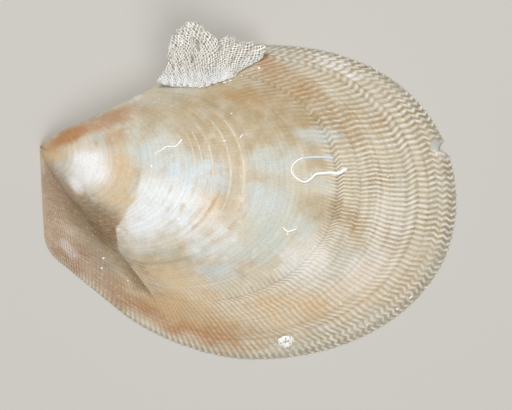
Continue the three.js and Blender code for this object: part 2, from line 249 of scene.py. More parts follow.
@dataclass
class RimOutline:
    """The valve's present rim, seen from above, in millimetres from the beak."""

    front_end: Pair = (32.5, 16.7)
    front_top: Pair = (68.2, 30.5)
    lower_tip: Pair = (124.9, -16.6)
    back_bottom: Pair = (64.4, -63.7)
    back_end: Pair = (24.5, -49.7)
    ear_start: Pair = (5.8, -34.4)
    ear_corner: Pair = (2.2, -31.8)
    hinge_end: Pair = (1.3, -27.0)
    handles: tuple[Pair, ...] = ((16.0, 16.5), (36.0, 26.3), (28.0, 33.6), (16.0, 8.8))
    steps: int = 90

    def __post_init__(self) -> None:
        """Trace the outline once, with the direction from the beak of each of its points."""
        self.points = self._trace()
        self.angles = np.arctan2(self.points[:, 1], self.points[:, 0])
        along = np.gradient(self.points, axis=0)
        along /= np.linalg.norm(along, axis=1)[:, None]
        self.outwards = np.stack([-along[:, 1], along[:, 0]], axis=1)
        self.front_angle = float(self.angles[0])
        self.hinge_angle = float(self.angles[-1])

    def _bend(self, ends: tuple[Pair, Pair], ways: tuple[Array, Array], held: Pair) -> Array:
        """Trace a rounded stretch.

        Args:
            ends: Where it starts and where it ends.
            ways: The directions that it leaves and arrives in.
            held: How far it holds each direction.

        Returns:
            Its points, without the first.
        """
        a, d = np.array(ends[0]), np.array(ends[1])
        b = a + ways[0] * held[0]
        c = d - ways[1] * held[1]
        t = np.linspace(0, 1, self.steps + 1)[1:, None]
        return a * (1 - t) ** 3 + 3 * b * (1 - t) ** 2 * t + 3 * c * (1 - t) * t**2 + d * t**3

    def _trace(self) -> Array:
        """Trace the rim from the front edge, round the lower edge, to the hinge.

        Returns:
            Its points, as rows of X and Y.
        """
        stops = (self.front_end, self.front_top, self.lower_tip, self.back_bottom, self.back_end)
        along_front = np.array(self.front_end) / np.hypot(*self.front_end)
        along_ear = np.array(self.ear_start) - np.array(self.back_end)
        along_ear /= np.linalg.norm(along_ear)
        ways = (along_front, np.array((1, 0)), np.array((0, -1)), np.array((-1, 0)), along_ear)
        bends = [self._bend(stops[i : i + 2], ways[i : i + 2], held) for i, held in enumerate(self.handles)]
        t = np.linspace(0, 1, self.steps + 1)[1:, None]
        ear = np.array(self.back_end) * (1 - t) + np.array(self.ear_start) * t
        corner = (
            np.array(self.ear_start) * (1 - t) ** 2
            + 2 * np.array(self.ear_corner) * (1 - t) * t
            + np.array(self.hinge_end) * t**2
        )
        return np.vstack([np.array([self.front_end]), *bends, ear, corner])

    def at(self, angle: Array) -> Array:
        """The rim's points in given directions from the beak."""
        return self._read(self.points, angle)

    def across(self, angle: Array) -> Array:
        """The outward directions across the rim, in given directions from the beak."""
        return self._read(self.outwards, angle)

    def _read(self, values: Array, angle: Array) -> Array:
        """Read one of the outline's lists at given directions."""
        read = [np.interp(angle, self.angles[::-1], values[::-1, i]) for i in (0, 1)]
        return np.stack(read, axis=-1)


@dataclass
class GrowthForm:
    """How the valve grew: every old rim is a smaller copy of the last, turned up about the hinge line."""

    rim: RimOutline = field(default_factory=RimOutline)
    full_turn_up: float = 1.4
    fold_degrees: float = -61.0
    fold_width: float = 17.0
    fold_depth: float = 6.5
    fold_fades: Pair = (0.5, 1.0)
    lunule_depth: float = 1.1
    lunule_ends: Pair = (0.0, 0.14)
    lunule_starts: Pair = (0.05, 0.35)
    lunule_fades: Pair = (0.4, 0.8)
    ledges: tuple[Pair, ...] = ((0.278, 0.3), (0.448, 0.14), (0.538, 0.3))
    ledge_swell: float = 0.09
    ledge_drop: float = 0.008
    ledge_starts: Pair = (0.0, 0.12)
    ledge_ends: Pair = (0.85, 1.0)
    wall: float = 4.2
    rim_width: float = 2.3
    wall_thins: Pair = (0.8, 1.0)
    hinge_plate: float = 4.2
    middle: Pair = (62.0, -18.0)

    def way_round(self, angle: Array) -> Array:
        """The share of the way round, from the front edge to the hinge."""
        return (self.rim.front_angle - angle) / (self.rim.front_angle - self.rim.hinge_angle)

    def stand_up(self, stage: Array, flat: Array) -> Array:
        """Turn flat points of old rims up to where each rim stood on the valve."""
        turn = self.full_turn_up * (1 - np.sqrt(stage))
        return np.stack([flat[..., 0] * np.cos(turn), flat[..., 1], flat[..., 0] * np.sin(turn)], axis=-1)

    def drawn_in(self, stage: Array, angle: Array) -> Array:
        """How far the fold behind the ear and the hollow along the front edge draw the surface in.

        Args:
            stage: The stage of each point.
            angle: Its direction from the beak.

        Returns:
            Millimetres inwards across the rim.
        """
        away = np.clip(np.abs(np.degrees(angle) - self.fold_degrees) / self.fold_width, 0, 1)
        fold = self.fold_depth * stage * (0.5 + 0.5 * np.cos(np.pi * away))
        fold = fold * (1 - smooth(*self.fold_fades, stage))
        lunule = self.lunule_depth * (1 - smooth(*self.lunule_ends, self.way_round(angle)))
        return fold + lunule * smooth(*self.lunule_starts, stage) * (1 - smooth(*self.lunule_fades, stage))

    def ledge_height(self, stage: Array, angle: Array) -> Array:
        """How far the surface swells up to the ledge that each long halt in growth left.

        Args:
            stage: The stage of each point.
            angle: Its direction from the beak.

        Returns:
            Millimetres outwards across the rim.
        """
        way = self.way_round(angle)
        height = np.zeros(np.broadcast(stage, angle).shape)
        for at, drop in self.ledges:
            rise = drop * smooth(at - self.ledge_swell, at, stage)
            height += rise * (1 - smooth(at, at + self.ledge_drop, stage))
        return height * smooth(*self.ledge_starts, way) * (1 - smooth(*self.ledge_ends, way))

    def outer(self, stage: Array, angle: Array) -> Array:
        """The outer face, without ribs.

        Args:
            stage: The stage of each point.
            angle: Its direction from the beak.

        Returns:
            X, Y and Z of each point.
        """
        out = self.ledge_height(stage, angle) - self.drawn_in(stage, angle)
        flat = self.rim.at(angle) * stage[..., None] + self.rim.across(angle) * out[..., None]
        return self.stand_up(stage, flat)

    def front_run(self, stage: Array, share: Array) -> Array:
        """The outer face along the straight front edge.

        Args:
            stage: The stage of each point.
            share: How far it is from the beak, as a share of the edge.

        Returns:
            X, Y and Z of each point.
        """
        front = np.full(stage.shape, self.rim.front_angle)
        inwards = self.rim.across(front) * (share * self.drawn_in(stage, front))[..., None]
        return self.stand_up(stage, np.array(self.rim.front_end) * (stage * share)[..., None] - inwards)

    def hinge_run(self, stage: Array, share: Array) -> Array:
        """The outer face along the hinge line, from the beak at share nought."""
        return self.stand_up(stage, np.array(self.rim.hinge_end) * (stage * share)[..., None])

    def inner_ring(self, stage: float, columns: int, run_steps: int) -> Array:
        """One ring of the hollow: an old rim drawn in by the wall and kept off the hinge line.

        Args:
            stage: The share of the full size.
            columns: Steps round the curved part.
            run_steps: Steps along each straight run.

        Returns:
            The ring's points, which don't repeat the first.
        """
        runs = np.arange(1, run_steps)[:, None] / run_steps
        angle = np.linspace(self.rim.front_angle, self.rim.hinge_angle, columns + 1)
        fold = self.drawn_in(np.full(angle.shape, stage), np.minimum(angle, 0.0))[:, None]
        outline = np.vstack([
            np.array(self.rim.front_end) * stage * runs,
            self.rim.at(angle) * stage - self.rim.across(angle) * fold,
            np.array(self.rim.hinge_end) * stage * runs[::-1],
        ])
        inwards = np.array(self.middle) * stage - outline
        inwards /= np.linalg.norm(inwards, axis=1)[:, None]
        thickness = self.wall + (self.rim_width - self.wall) * smooth(*self.wall_thins, stage)
        inset = outline + inwards * thickness
        inset[:, 0] = np.maximum(inset[:, 0], self.hinge_plate)
        return self.stand_up(np.full(len(inset), stage), inset)


@dataclass(frozen=True)
class WornZone:
    """A part of the ribs that wear has lowered, between two directions from the beak in degrees."""

    starts: Pair
    loss: float
    fresh: Pair = (0.9, 1.0)
    regained: float = 1.0

    def lost(self, degrees: Array, stage: Array) -> Array:
        """The share of the ribs that is gone at each place."""
        return self.loss * smooth(*self.starts, degrees) * (1 - self.regained * smooth(*self.fresh, stage))


@dataclass
class Ribbing:
    """The ribs of the outer face: where each runs at every stage, and how high it stands."""

    count: int = 136
    height: float = 0.2
    crest_width: float = 0.85
    halts: tuple[Pair, ...] = (
        (0.7, -0.3), (0.7275, -0.9), (0.74, 0.0), (0.757, -0.1), (0.77, 0.0), (0.777, -0.25), (0.812, 0.2),
        (0.843, -0.3), (0.883, -0.3), (0.907, 0.7), (0.933, 0.6), (0.955, 1.1), (0.967, 0.6), (0.978, 1.0),
        (0.989, 0.55), (1.0, 0.9),
    )
    jogs_start: Pair = (0.66, 0.72)
    jogs_end: Pair = (-32.0, -50.0)
    jogs_lost: float = 0.85
    drift: tuple[Pair, ...] = (
        (-87.3, 0.0), (-66.0, -19.0), (-50.0, -12.0), (-24.0, -12.0), (-14.0, 0.0), (1.0, 14.0), (27.2, 0.0),
    )
    drift_from: float = 0.45
    front_edge: Pair = (4.0, 18.0)
    back_edge: Pair = (-20.0, -44.0)
    fresh_from: float = 0.692
    fresh_within: float = 0.05
    edge_earlier: float = 0.15
    edge_slower: float = 0.22
    worn_height: float = 0.07
    fresh_height: float = 0.93
    ear_height: float = 0.45
    ear_starts: Pair = (-67.0, -74.0)
    ear_grows: Pair = (0.25, 0.5)
    worn_zones: tuple[tuple[WornZone, ...], ...] = (
        (WornZone((-40.0, -58.0), 0.35, (0.93, 0.985)),),
        (WornZone((-9.0, -22.0), 0.5, (0.88, 0.96), 0.5), WornZone((-32.0, -45.0), 0.2, regained=0.0)),
        (WornZone((1.0, 8.0), 0.5, (0.82, 0.93)),),
    )

    def shift(self, stage: Array, angle: Array) -> Array:
        """How far ribs stand from their even spacing, in ribs, towards the front edge.

        Args:
            stage: The stage of each point.
            angle: The even direction of its rib.

        Returns:
            The sideways jogs at the halts in growth, with the slow spreading of the ribs.
        """
        at, jog = np.array(self.halts).T
        degrees, per_stage = np.array(self.drift).T
        spread = np.interp(np.degrees(angle), degrees, per_stage) * (np.maximum(stage, self.drift_from) - 1)
        jogged = 1 - self.jogs_lost * smooth(*self.jogs_end, np.degrees(angle))
        return np.interp(stage, at, jog) * smooth(*self.jogs_start, stage) * jogged + spread

    def strength(self, stage: Array, angle: Array) -> Array:
        """How much of the ribs wear has left.

        Args:
            stage: The stage of each point.
            angle: Its direction from the beak.

        Returns:
            From nought to one for each point.
        """
        degrees = np.degrees(angle)
        edge = np.maximum(smooth(*self.front_edge, degrees), smooth(*self.back_edge, degrees))
        start = self.fresh_from - self.edge_earlier * edge
        end = start + self.fresh_within + self.edge_slower * edge
        left = self.worn_height + self.fresh_height * smooth(start, end, stage)
        for zones in self.worn_zones:
            left = left * (1 - sum(zone.lost(degrees, stage) for zone in zones))
        ear = self.ear_height * smooth(*self.ear_starts, degrees) * smooth(*self.ear_grows, stage)
        return np.maximum(left, ear)

    def terrace(self, stage: Array) -> Array:
        """How far the surface has swollen since the last halt in growth.

        Args:
            stage: The stage of each point.

        Returns:
            From nought to one for each point.
        """
        at = np.array([halt for halt, _ in self.halts])
        since = np.clip(np.searchsorted(at, stage, side="right") - 1, 0, len(at) - 2)
        share = np.clip((stage - at[since]) / (at[since + 1] - at[since]), 0, 1)
        return np.where(stage < at[0], 0.0, share)

    def crest(self, phase: Array) -> Array:
        """A rib's section, from -1 in the groove to 1 on the crest, which is at whole phases."""
        return 2 * (0.5 + 0.5 * np.cos(2 * np.pi * phase)) ** self.crest_width - 1


@dataclass
class LoftedSkin:
    """A closed mesh made of rows of points whose counts may differ."""

    level: float = 1e-9
    places: list[Array] = field(default_factory=list)
    marks: list[Array] = field(default_factory=list)
    faces: Faces = field(default_factory=list)
    count: int = 0

    def row(self, shares: Array, places: Array, marks: Array) -> Row:
        """Add a row of points.

        Args:
            shares: How far round each point is.
            places: Where each point is, in millimetres.
            marks: Rib phase, stage, ribbing and side, one row for each point.

        Returns:
            The shares, and the points' numbers.
        """
        numbers = np.arange(self.count, self.count + len(places))
        self.count += len(places)
        self.places.append(places)
        self.marks.append(marks)
        return shares, numbers

    def stitch(self, rows: list[Row]) -> None:
        """Join each row to the next, always stepping along the row that lags.

        Args:
            rows: The rows, from the beak outwards and back inside.
        """
        for (low_share, low), (up_share, up) in zip(rows[:-1], rows[1:]):
            i = j = 0
            while i < len(low) - 1 or j < len(up) - 1:
                next_low = low_share[i + 1] if i < len(low) - 1 else math.inf
                next_up = up_share[j + 1] if j < len(up) - 1 else math.inf
                if next_low <= next_up + self.level:
                    self.faces.append((low[i], low[i + 1], up[j]))
                    i += 1
                else:
                    self.faces.append((low[i], up[j + 1], up[j]))
                    j += 1

    def close(self, place: Array, marks: tuple[float, ...], row: Row) -> None:
        """Close a row of points on one more point.

        Args:
            place: Where that point is.
            marks: Its marks.
            row: The row that is closed.
        """
        apex = self.row(np.zeros(1), place[None], np.array([marks]))[1][0]
        for a, b in zip(row[1][:-1], row[1][1:]):
            self.faces.append((apex, b, a))


@dataclass
class RibGrid:
    """A grid of points of the outer face: a row for each stage, and a column for each way round.

    The shares of the way round and how far the ribs are held even are given for the columns, and the rest
    for every point.
    """

    share: Array
    held: Array
    stage: Array
    angle: Array
    phase: Array
    places: Array


@dataclass
class Valve:
    """The one big piece: ribbed outside, with its flat rim, hinge plate and hollow.

    Roughness is given as how high it stands, how long its lumps are, both in millimetres, and a seed.
    """

    form: GrowthForm = field(default_factory=GrowthForm)
    ribs: Ribbing = field(default_factory=Ribbing)
    columns_per_rib: int = 6
    worn_columns_per_rib: int = 2
    inner_columns: int = 180
    run_steps: int = 12
    run_share: float = 0.06
    beak_stages: tuple[float, ...] = (0.006, 0.012, 0.02, 0.03, 0.042, 0.056, 0.072)
    ledge_stages: tuple[float, ...] = (-0.004, 0.0, 0.004, 0.008)
    worn_stages: Trio = (0.09, 0.62, 0.012)
    ribbed_stages: Trio = (0.62, 0.999, 0.0066)
    nearest_stages: Pair = (0.003, 0.0018)
    stage_digits: int = 5
    inner_rim_stages: tuple[float, ...] = (1.0, 0.99, 0.98, 0.97, 0.96, 0.95)
    hollow_stages: tuple[float, float, int] = (0.93, 0.16, 30)
    apex_stages: Pair = (0.13, 0.1)
    held_starts: Pair = (0.0, 0.06)
    held_ends: Pair = (0.96, 1.0)
    chip: tuple[Pair, ...] = (
        (-2.5, 122.9), (-2.25, 122.3), (-1.95, 121.3), (-1.6, 120.4), (-1.2, 119.8), (-0.6, 119.5),
        (0.1, 119.6), (1.0, 120.1), (1.5, 120.7), (1.7, 121.2),
    )
    chip_rim: Trio = (118.7, -5.0, 2.4)
    chip_slack: float = 0.004
    chip_rounds: tuple[int, int] = (3, 12)
    nacre: Pair = (118.8, 0.5)
    nacre_ends: Pair = (1.2, 2.4)
    wear: Trio = (0.5, 7.0, 0.0)
    wear_middle: float = 0.82
    wear_range: Pair = (0.35, 1.25)
    bead_starts: Pair = (0.98, 1.0)
    bead_height: Pair = (0.35, 0.5)
    bead_turns: Pair = (7.3, 2.1)
    terrace: float = 0.16
    flat_rim: Pair = (0.96, 1.0)
    above_nought: float = 1e-12
    grit: Trio = (0.1, 1.1, 13.0)
    grit_starts: Pair = (0.7, 0.9)
    swells: tuple[Trio, ...] = ((0.16, 11.0, 3.1), (0.05, 3.0, 7.7))
    swell_starts: Pair = (0.04, 0.2)
    swell_fades: Pair = (0.93, 1.0)
    ligament_pit: tuple[Pair, ...] = ((1.4, -2.2), (3.9, -3.6), (3.9, -11.5))
    ligament_depth: float = 1.2
    crease_degrees: float = 50.0
    inside_from: float = 0.5
    pit_from: float = 0.15

    def chipped(self, stage: Array, angle: Array) -> Array:
        """Hold back the stages that would pass the chip's edge.

        Args:
            stage: The stage of each point.
            angle: Its direction from the beak.

        Returns:
            The same stages, except that those beyond the chip's edge are crowded onto it.
        """
        rim = self.form.rim.at(angle)
        across, down = np.array(self.chip).T
        end = np.ones(angle.shape)
        for _ in range(self.chip_rounds[0]):
            edge = np.interp(rim[..., 1] * end, across, down, left=np.inf, right=np.inf)
            end = np.minimum(1, edge / np.maximum(rim[..., 0], 1))
        return np.minimum(stage, end) + self.chip_slack * np.maximum(stage - end, 0)

    def stages(self) -> Row:
        """Choose the rows of points.

        Returns:
            The stages of the worn early shell, and those of the ribbed outer shell.
        """
        ledges = [at + step for at, _ in self.form.ledges for step in self.ledge_stages]
        worn = np.concatenate([self.beak_stages, np.arange(*self.worn_stages), ledges])
        worn = np.unique(np.round(worn, self.stage_digits))
        halts = [at for at, _ in self.ribs.halts]
        ribbed = np.concatenate([np.arange(*self.ribbed_stages), halts])
        ribbed = np.unique(np.round(ribbed, self.stage_digits))
        to_ribbed, to_halt = self.nearest_stages
        close = np.flatnonzero(np.diff(ribbed) < to_halt)
        ribbed = np.delete(ribbed, [i for i in close if ribbed[i] not in halts])
        return worn[worn < self.worn_stages[1] - to_ribbed], ribbed

    def _lay_out(self, stages: Array, per_rib: int) -> RibGrid:
        """Lay the points of some rows out on the smooth outer face.

        Args:
            stages: The stage of each row.
            per_rib: Columns for each rib.

        Returns:
            The grid, with its columns along the ribs and its last rows along the chip's edge.
        """
        rim, count = self.form.rim, self.ribs.count * per_rib
        share = np.arange(count + 1) / count
        even = rim.front_angle + (rim.hinge_angle - rim.front_angle) * share
        held = smooth(*self.held_starts, share) * (1 - smooth(*self.held_ends, share))
        rib_angle = (rim.front_angle - rim.hinge_angle) / self.ribs.count
        whole = stage = np.repeat(stages[:, None], count + 1, axis=1)
        angle = even + self.ribs.shift(stage, even) * rib_angle * held
        for _ in range(self.chip_rounds[1]):
            stage = (stage + self.chipped(whole, angle)) / 2
            angle = even + self.ribs.shift(stage, even) * rib_angle * held
        phase = np.repeat(share[None, :] * self.ribs.count, len(stages), axis=0)
        return RibGrid(share, held, stage, angle, phase, self.form.outer(stage, angle))

    def _outwards(self, grid: RibGrid) -> Array:
        """Work out the way out of the smooth outer face, which turns level at the rim.

        Args:
            grid: The points of the face.

        Returns:
            A direction for each point.
        """
        out = np.cross(np.gradient(grid.places, axis=0), np.gradient(grid.places, axis=1))
        out *= np.where(out[..., 2:] < 0, -1, 1)
        out[..., 2] *= 1 - smooth(*self.flat_rim, grid.stage)
        return out / (np.linalg.norm(out, axis=-1)[..., None] + self.above_nought)

    def _strength(self, grid: RibGrid) -> Array:
        """Work out how much of each rib is left, after uneven wear and the blister beside the chip.

        Args:
            grid: The points of the face.

        Returns:
            A share of the ribs' full height for each point.
        """
        height, grain, seed = self.wear
        wear = np.clip(self.wear_middle + height * rough(grid.places, grain, seed), *self.wear_range)
        from_nacre = np.hypot(grid.places[..., 0] - self.nacre[0], grid.places[..., 1] - self.nacre[1])
        strength = self.ribs.strength(grid.stage, grid.angle) * grid.held * wear
        return strength * smooth(*self.nacre_ends, from_nacre)

    def _relief(self, grid: RibGrid, strength: Array) -> Array:
        """Work out how far ribs, beads, terraces and roughness stand out of the smooth face.

        Args:
            grid: The points of the face.
            strength: How much of each rib is left.

        Returns:
            Millimetres outwards for each point.
        """
        least, more = self.bead_height
        fast, slow = self.bead_turns
        uneven = least + more * np.sin(grid.phase * fast) * np.sin(grid.phase * slow)
        beads = 1 + smooth(*self.bead_starts, grid.stage) * uneven
        relief = self.ribs.height * strength * self.ribs.crest(grid.phase) * beads
        terrace = self.terrace * self.ribs.terrace(grid.stage) * strength
        relief += terrace * (1 - smooth(*self.flat_rim, grid.stage))
        height, grain, seed = self.grit
        relief += height * strength * rough(grid.places, grain, seed) * smooth(*self.grit_starts, grid.stage)
        calm = smooth(*self.swell_starts, grid.stage) * (1 - smooth(*self.swell_fades, grid.stage))
        swells = sum(height * rough(grid.places, grain, seed) for height, grain, seed in self.swells)
        return relief + calm * grid.held * swells

    def outer_rows(self, stages: Array, per_rib: int) -> tuple[Array, Array, Array]:
        """Work out rows of the outer face, with the straight runs to the beak at both ends.

        Args:
            stages: The stage of each row.
            per_rib: Columns for each rib.

        Returns:
            Shares of the way round, places and marks, the last two with an entry for each row.
        """
        grid = self._lay_out(stages, per_rib)
        strength = self._strength(grid)
        ribbed = grid.places + self._outwards(grid) * self._relief(grid, strength)[..., None]
        run = np.arange(self.run_steps) / self.run_steps
        run_stage = np.repeat(stages[:, None], self.run_steps, axis=1)
        run_share = np.repeat(run[None, :], len(stages), axis=0)
        front = self.form.front_run(run_stage, run_share)
        hinge = self.form.hinge_run(run_stage, run_share)[:, ::-1]
        shares = np.concatenate([
            self.run_share * run,
            self.run_share + (1 - 2 * self.run_share) * grid.share,
            1 - self.run_share * run[::-1],
        ])
        blank = np.zeros(run_stage.shape)
        marks = np.stack([
            np.concatenate([blank, grid.phase, blank + self.ribs.count], axis=1),
            np.concatenate([run_stage, grid.stage, run_stage], axis=1),
            np.concatenate([blank, strength, blank], axis=1),
            np.zeros((len(stages), len(shares))),
        ], axis=-1)
        return shares, np.concatenate([front, ribbed, hinge], axis=1), marks

    def inner_row(self, stage: float) -> tuple[Array, Array, Array]:
        """Work out one row of the rim and the hollow.

        Args:
            stage: Its stage.

        Returns:
            Shares of the way round, places and marks of its points, the last of which repeats the first.
        """
        by_rim = stage >= self.inner_rim_stages[-1]
        columns = self.ribs.count * self.columns_per_rib if by_rim else self.inner_columns
        ring = self.form.inner_ring(stage, columns, self.run_steps)
        inland, low, high = self.chip_rim
        by_chip = (ring[:, 1] > low) & (ring[:, 1] < high)
        ring[:, 0] = np.where(by_chip, np.minimum(ring[:, 0], inland), ring[:, 0])
        run = self.run_share * np.arange(1, self.run_steps) / self.run_steps
        curve = self.run_share + (1 - 2 * self.run_share) * np.arange(columns + 1) / columns
        shares = np.concatenate([run, curve, 1 - run[::-1], 1 + run[:1]])
        marks = np.stack([shares * self.ribs.count, shares * 0 + stage, shares * 0, shares * 0 + 1], axis=-1)
        return shares, np.vstack([ring, ring[:1]]), marks

    def skin(self) -> LoftedSkin:
        """Loft the outer face, the flat rim and the hollow into one closed skin.

        Returns:
            The skin.
        """
        made = LoftedSkin()
        outer = []
        for stages, per_rib in zip(self.stages(), (self.worn_columns_per_rib, self.columns_per_rib)):
            shares, places, marks = self.outer_rows(stages, per_rib)
            if stages[-1] == 1:
                places[-1, :, 2] = 0.0
            outer += [made.row(shares, places[i], marks[i]) for i in range(len(stages))]
        made.stitch(outer)
        made.close(np.zeros(3), (0.0, 0.0, 0.0, 0.0), outer[0])
        first_apex, apex_mark = self.apex_stages
        stages = np.concatenate([self.inner_rim_stages, np.linspace(*self.hollow_stages), [first_apex]])
        inner = [made.row(*self.inner_row(float(stage))) for stage in stages]
        made.stitch([outer[-1], *inner])
        made.close(made.places[-1].mean(axis=0), (0.0, apex_mark, 0.0, 1.0), inner[-1])
        return made

    def build(self) -> Piece:
        """Make the valve's mesh, with its ligament pit cut.

        Returns:
            The valve, with its ribbing, its side and its growth written for the finishes.
        """
        skin = self.skin()
        marks = np.vstack(skin.marks)
        faces = [tuple(int(number) for number in face) for face in skin.faces]
        piece = new_object("valve_shell", np.vstack(skin.places), faces)
        write_mask(piece.data, "ribbing", marks[:, 2])
        write_mask(piece.data, "inside", marks[:, 3])
        growth = marks[corner_points(piece.data), :2]
        piece.data.uv_layers.new(name="growth").data.foreach_set("uv", growth.ravel())
        turn_outwards(piece, WELD_M)
        pit = self._pit()
        apply_modifier(piece, "BOOLEAN", operation="DIFFERENCE", object=pit, solver="EXACT")
        bpy.data.objects.remove(pit)
        only(piece)
        bpy.ops.object.shade_smooth_by_angle(angle=math.radians(self.crease_degrees))
        return piece

    def _pit(self) -> Piece:
        """Make the cutter for the three-cornered ligament pit under the beak.

        Returns:
            The cutter, from a millimetre under the rim up to the pit's floor.
        """
        corners = np.array([[x, y, -1.0] for x, y in self.ligament_pit])
        made = new_object("pit", corners, [(0, 1, 2)])
        bpy.ops.object.mode_set(mode="EDIT")
        bpy.ops.mesh.select_all(action="SELECT")
        rise = (0, 0, (1 + self.ligament_depth) * MM)
        bpy.ops.mesh.extrude_region_move(TRANSFORM_OT_translate={"value": rise})
        bpy.ops.object.mode_set(mode="OBJECT")
        turn_outwards(made)
        return made

    def dress(self, piece: Piece, outer: bpy.types.Material, inner: bpy.types.Material) -> None:
        """Give the outer face one finish, and the hollow and the ligament pit the other.

        Args:
            piece: The valve.
            outer: The finish of the outer face.
            inner: The finish of the hollow.
        """
        mesh = piece.data
        inside, pit = (mesh.attributes[name].data for name in ("inside", "ligament"))
        mesh.materials.append(outer)
        mesh.materials.append(inner)
        for polygon in mesh.polygons:
            polygon.material_index = int(all(
                inside[point].value > self.inside_from or pit[point].value > self.pit_from
                for point in polygon.vertices
            ))


# What settled on the valve


@dataclass
class Ground:
    """The surface that growths settle on, found from straight above.

    Its middle is a place that the surface has for certain, in millimetres from the beak.
    """

    piece: Piece
    middle: Pair
    probe_height: float = 60.0
    tries: int = 60

    def __post_init__(self) -> None:
        """Make the search tree once."""
        graph = bpy.context.evaluated_depsgraph_get()
        self.tree = BVHTree.FromObject(self.piece, graph)

    def near(self, x: float, y: float) -> Row:
        """Find the surface under a place, or under the nearest place towards the middle that has some.

        Args:
            x: Millimetres from the beak towards the lower edge.
            y: Millimetres from the beak towards the front.

        Returns:
            The point at that place, in millimetres, and the way out of the surface.
        """
        for step in np.linspace(0, 1, self.tries):
            above = (x + (self.middle[0] - x) * step, y + (self.middle[1] - y) * step, self.probe_height)
            hit, out, _, _ = self.tree.ray_cast(Vector(to_frame(np.array(above))), Vector((0, 0, -1)))
            if hit is not None:
                point = from_frame(np.array(hit))
                point[:2] = (x, y)
                return point, np.array(out)
        raise ValueError(f"no surface towards {self.middle}")

    def lie(self, out: Array) -> Matrix:
        """The turn that lays an upright thing on a surface that faces a way."""
        return Vector((0, 0, 1)).rotation_difference(Vector(out)).to_matrix()


@dataclass
class WormTube:
    """A limy tube that a worm laid along the shell, wider towards its mouth.

    The path is in millimetres from the beak, with a radius at each of its places.
    """

    name: str
    path: tuple[Pair, ...]
    radii: tuple[float, ...]
    nodes: tuple[str, ...] = ()
    open_mouth: bool = False
    worn: bool = False
    sunk: float = 0.35
    path_samples: int = 200
    rings_per_mm: float = 7.0
    fewest_rings: int = 12
    sides: int = 14
    evened: int = 3
    growth_rings: Pair = (0.07, 9.0)
    roughness: Trio = (0.08, 0.8, 4.0)
    flare: tuple[float, ...] = (1.03, 1.08, 1.16, 1.28)
    bore: float = 0.66
    bore_rings: int = 14

    def _line(self) -> Row:
        """Space the tube's rings evenly along its path.

        Returns:
            How far along each ring is, and its X, Y and radius, in millimetres.
        """
        corners = [(*place, radius) for place, radius in zip(self.path, self.radii)]
        fine = through(corners, np.linspace(0, 1, self.path_samples))
        steps = np.linalg.norm(np.diff(fine[:, :2], axis=0), axis=1)
        length = np.concatenate([[0], np.cumsum(steps)])
        count = max(self.fewest_rings, int(length[-1] * self.rings_per_mm))
        at = np.linspace(0, length[-1], count)
        return at, np.stack([np.interp(at, length, fine[:, i]) for i in range(3)], axis=1)

    def _lay(self, ground: Ground, line: Array) -> Row:
        """Lay the tube's middle line on the ground, and even it out.

        Args:
            ground: The surface that it lies on.
            line: X, Y and radius of each ring.

        Returns:
            The middle of each ring, and the way out of the surface there.
        """
        centres, outs = [], []
        for x, y, radius in line:
            point, out = ground.near(x, y)
            centres.append(point + out * radius * (1 - self.sunk))
            outs.append(out)
        laid = (np.array(centres), np.array(outs))
        for _ in range(self.evened):
            for row in laid:
                row[1:-1] = (row[:-2] + row[1:-1] * 2 + row[2:]) / 4
        return laid

    def build(self, ground: Ground) -> Piece:
        """Sweep the tube along its path on the ground.

        Args:
            ground: The surface that it lies on.

        Returns:
            The tube, closed at its narrow end and hollow behind an open mouth.
        """
        at, line = self._line()
        centres, outs = self._lay(ground, line)
        deep, turns_per_mm = self.growth_rings
        height, grain, seed = self.roughness
        uneven = 1 + deep * np.sin(at * turns_per_mm) + height * rough(centres, grain, seed)
        radii = line[:, 2] * uneven
        along = np.gradient(centres, axis=0)
        along /= np.linalg.norm(along, axis=1)[:, None]
        rings = [(number, 1.0) for number in range(len(at))]
        if self.open_mouth:
            radii[-len(self.flare) :] *= np.array(self.flare)
            rings += [(-number, self.bore) for number in range(1, min(self.bore_rings, len(at) - 2))]
        turns = np.arange(self.sides) / self.sides * 2 * np.pi
        places = []
        for number, share in rings:
            side = np.cross(along[number], outs[number])
            side /= np.linalg.norm(side)
            up = np.cross(side, along[number])
            spokes = np.cos(turns)[:, None] * side + np.sin(turns)[:, None] * up
            places.append(centres[number] + radii[number] * share * spokes)
        last = (len(rings) - 1) * self.sides
        faces = []
        for start in range(0, last, self.sides):
            for i in range(self.sides):
                a, b = start + i, start + (i + 1) % self.sides
                faces.append((a, b, b + self.sides, a + self.sides))
        faces += [tuple(range(self.sides)), tuple(range(last, last + self.sides))]
        made = new_object(self.name, np.vstack(places), faces)
        turn_outwards(made)
        bpy.ops.object.shade_smooth()
        return made


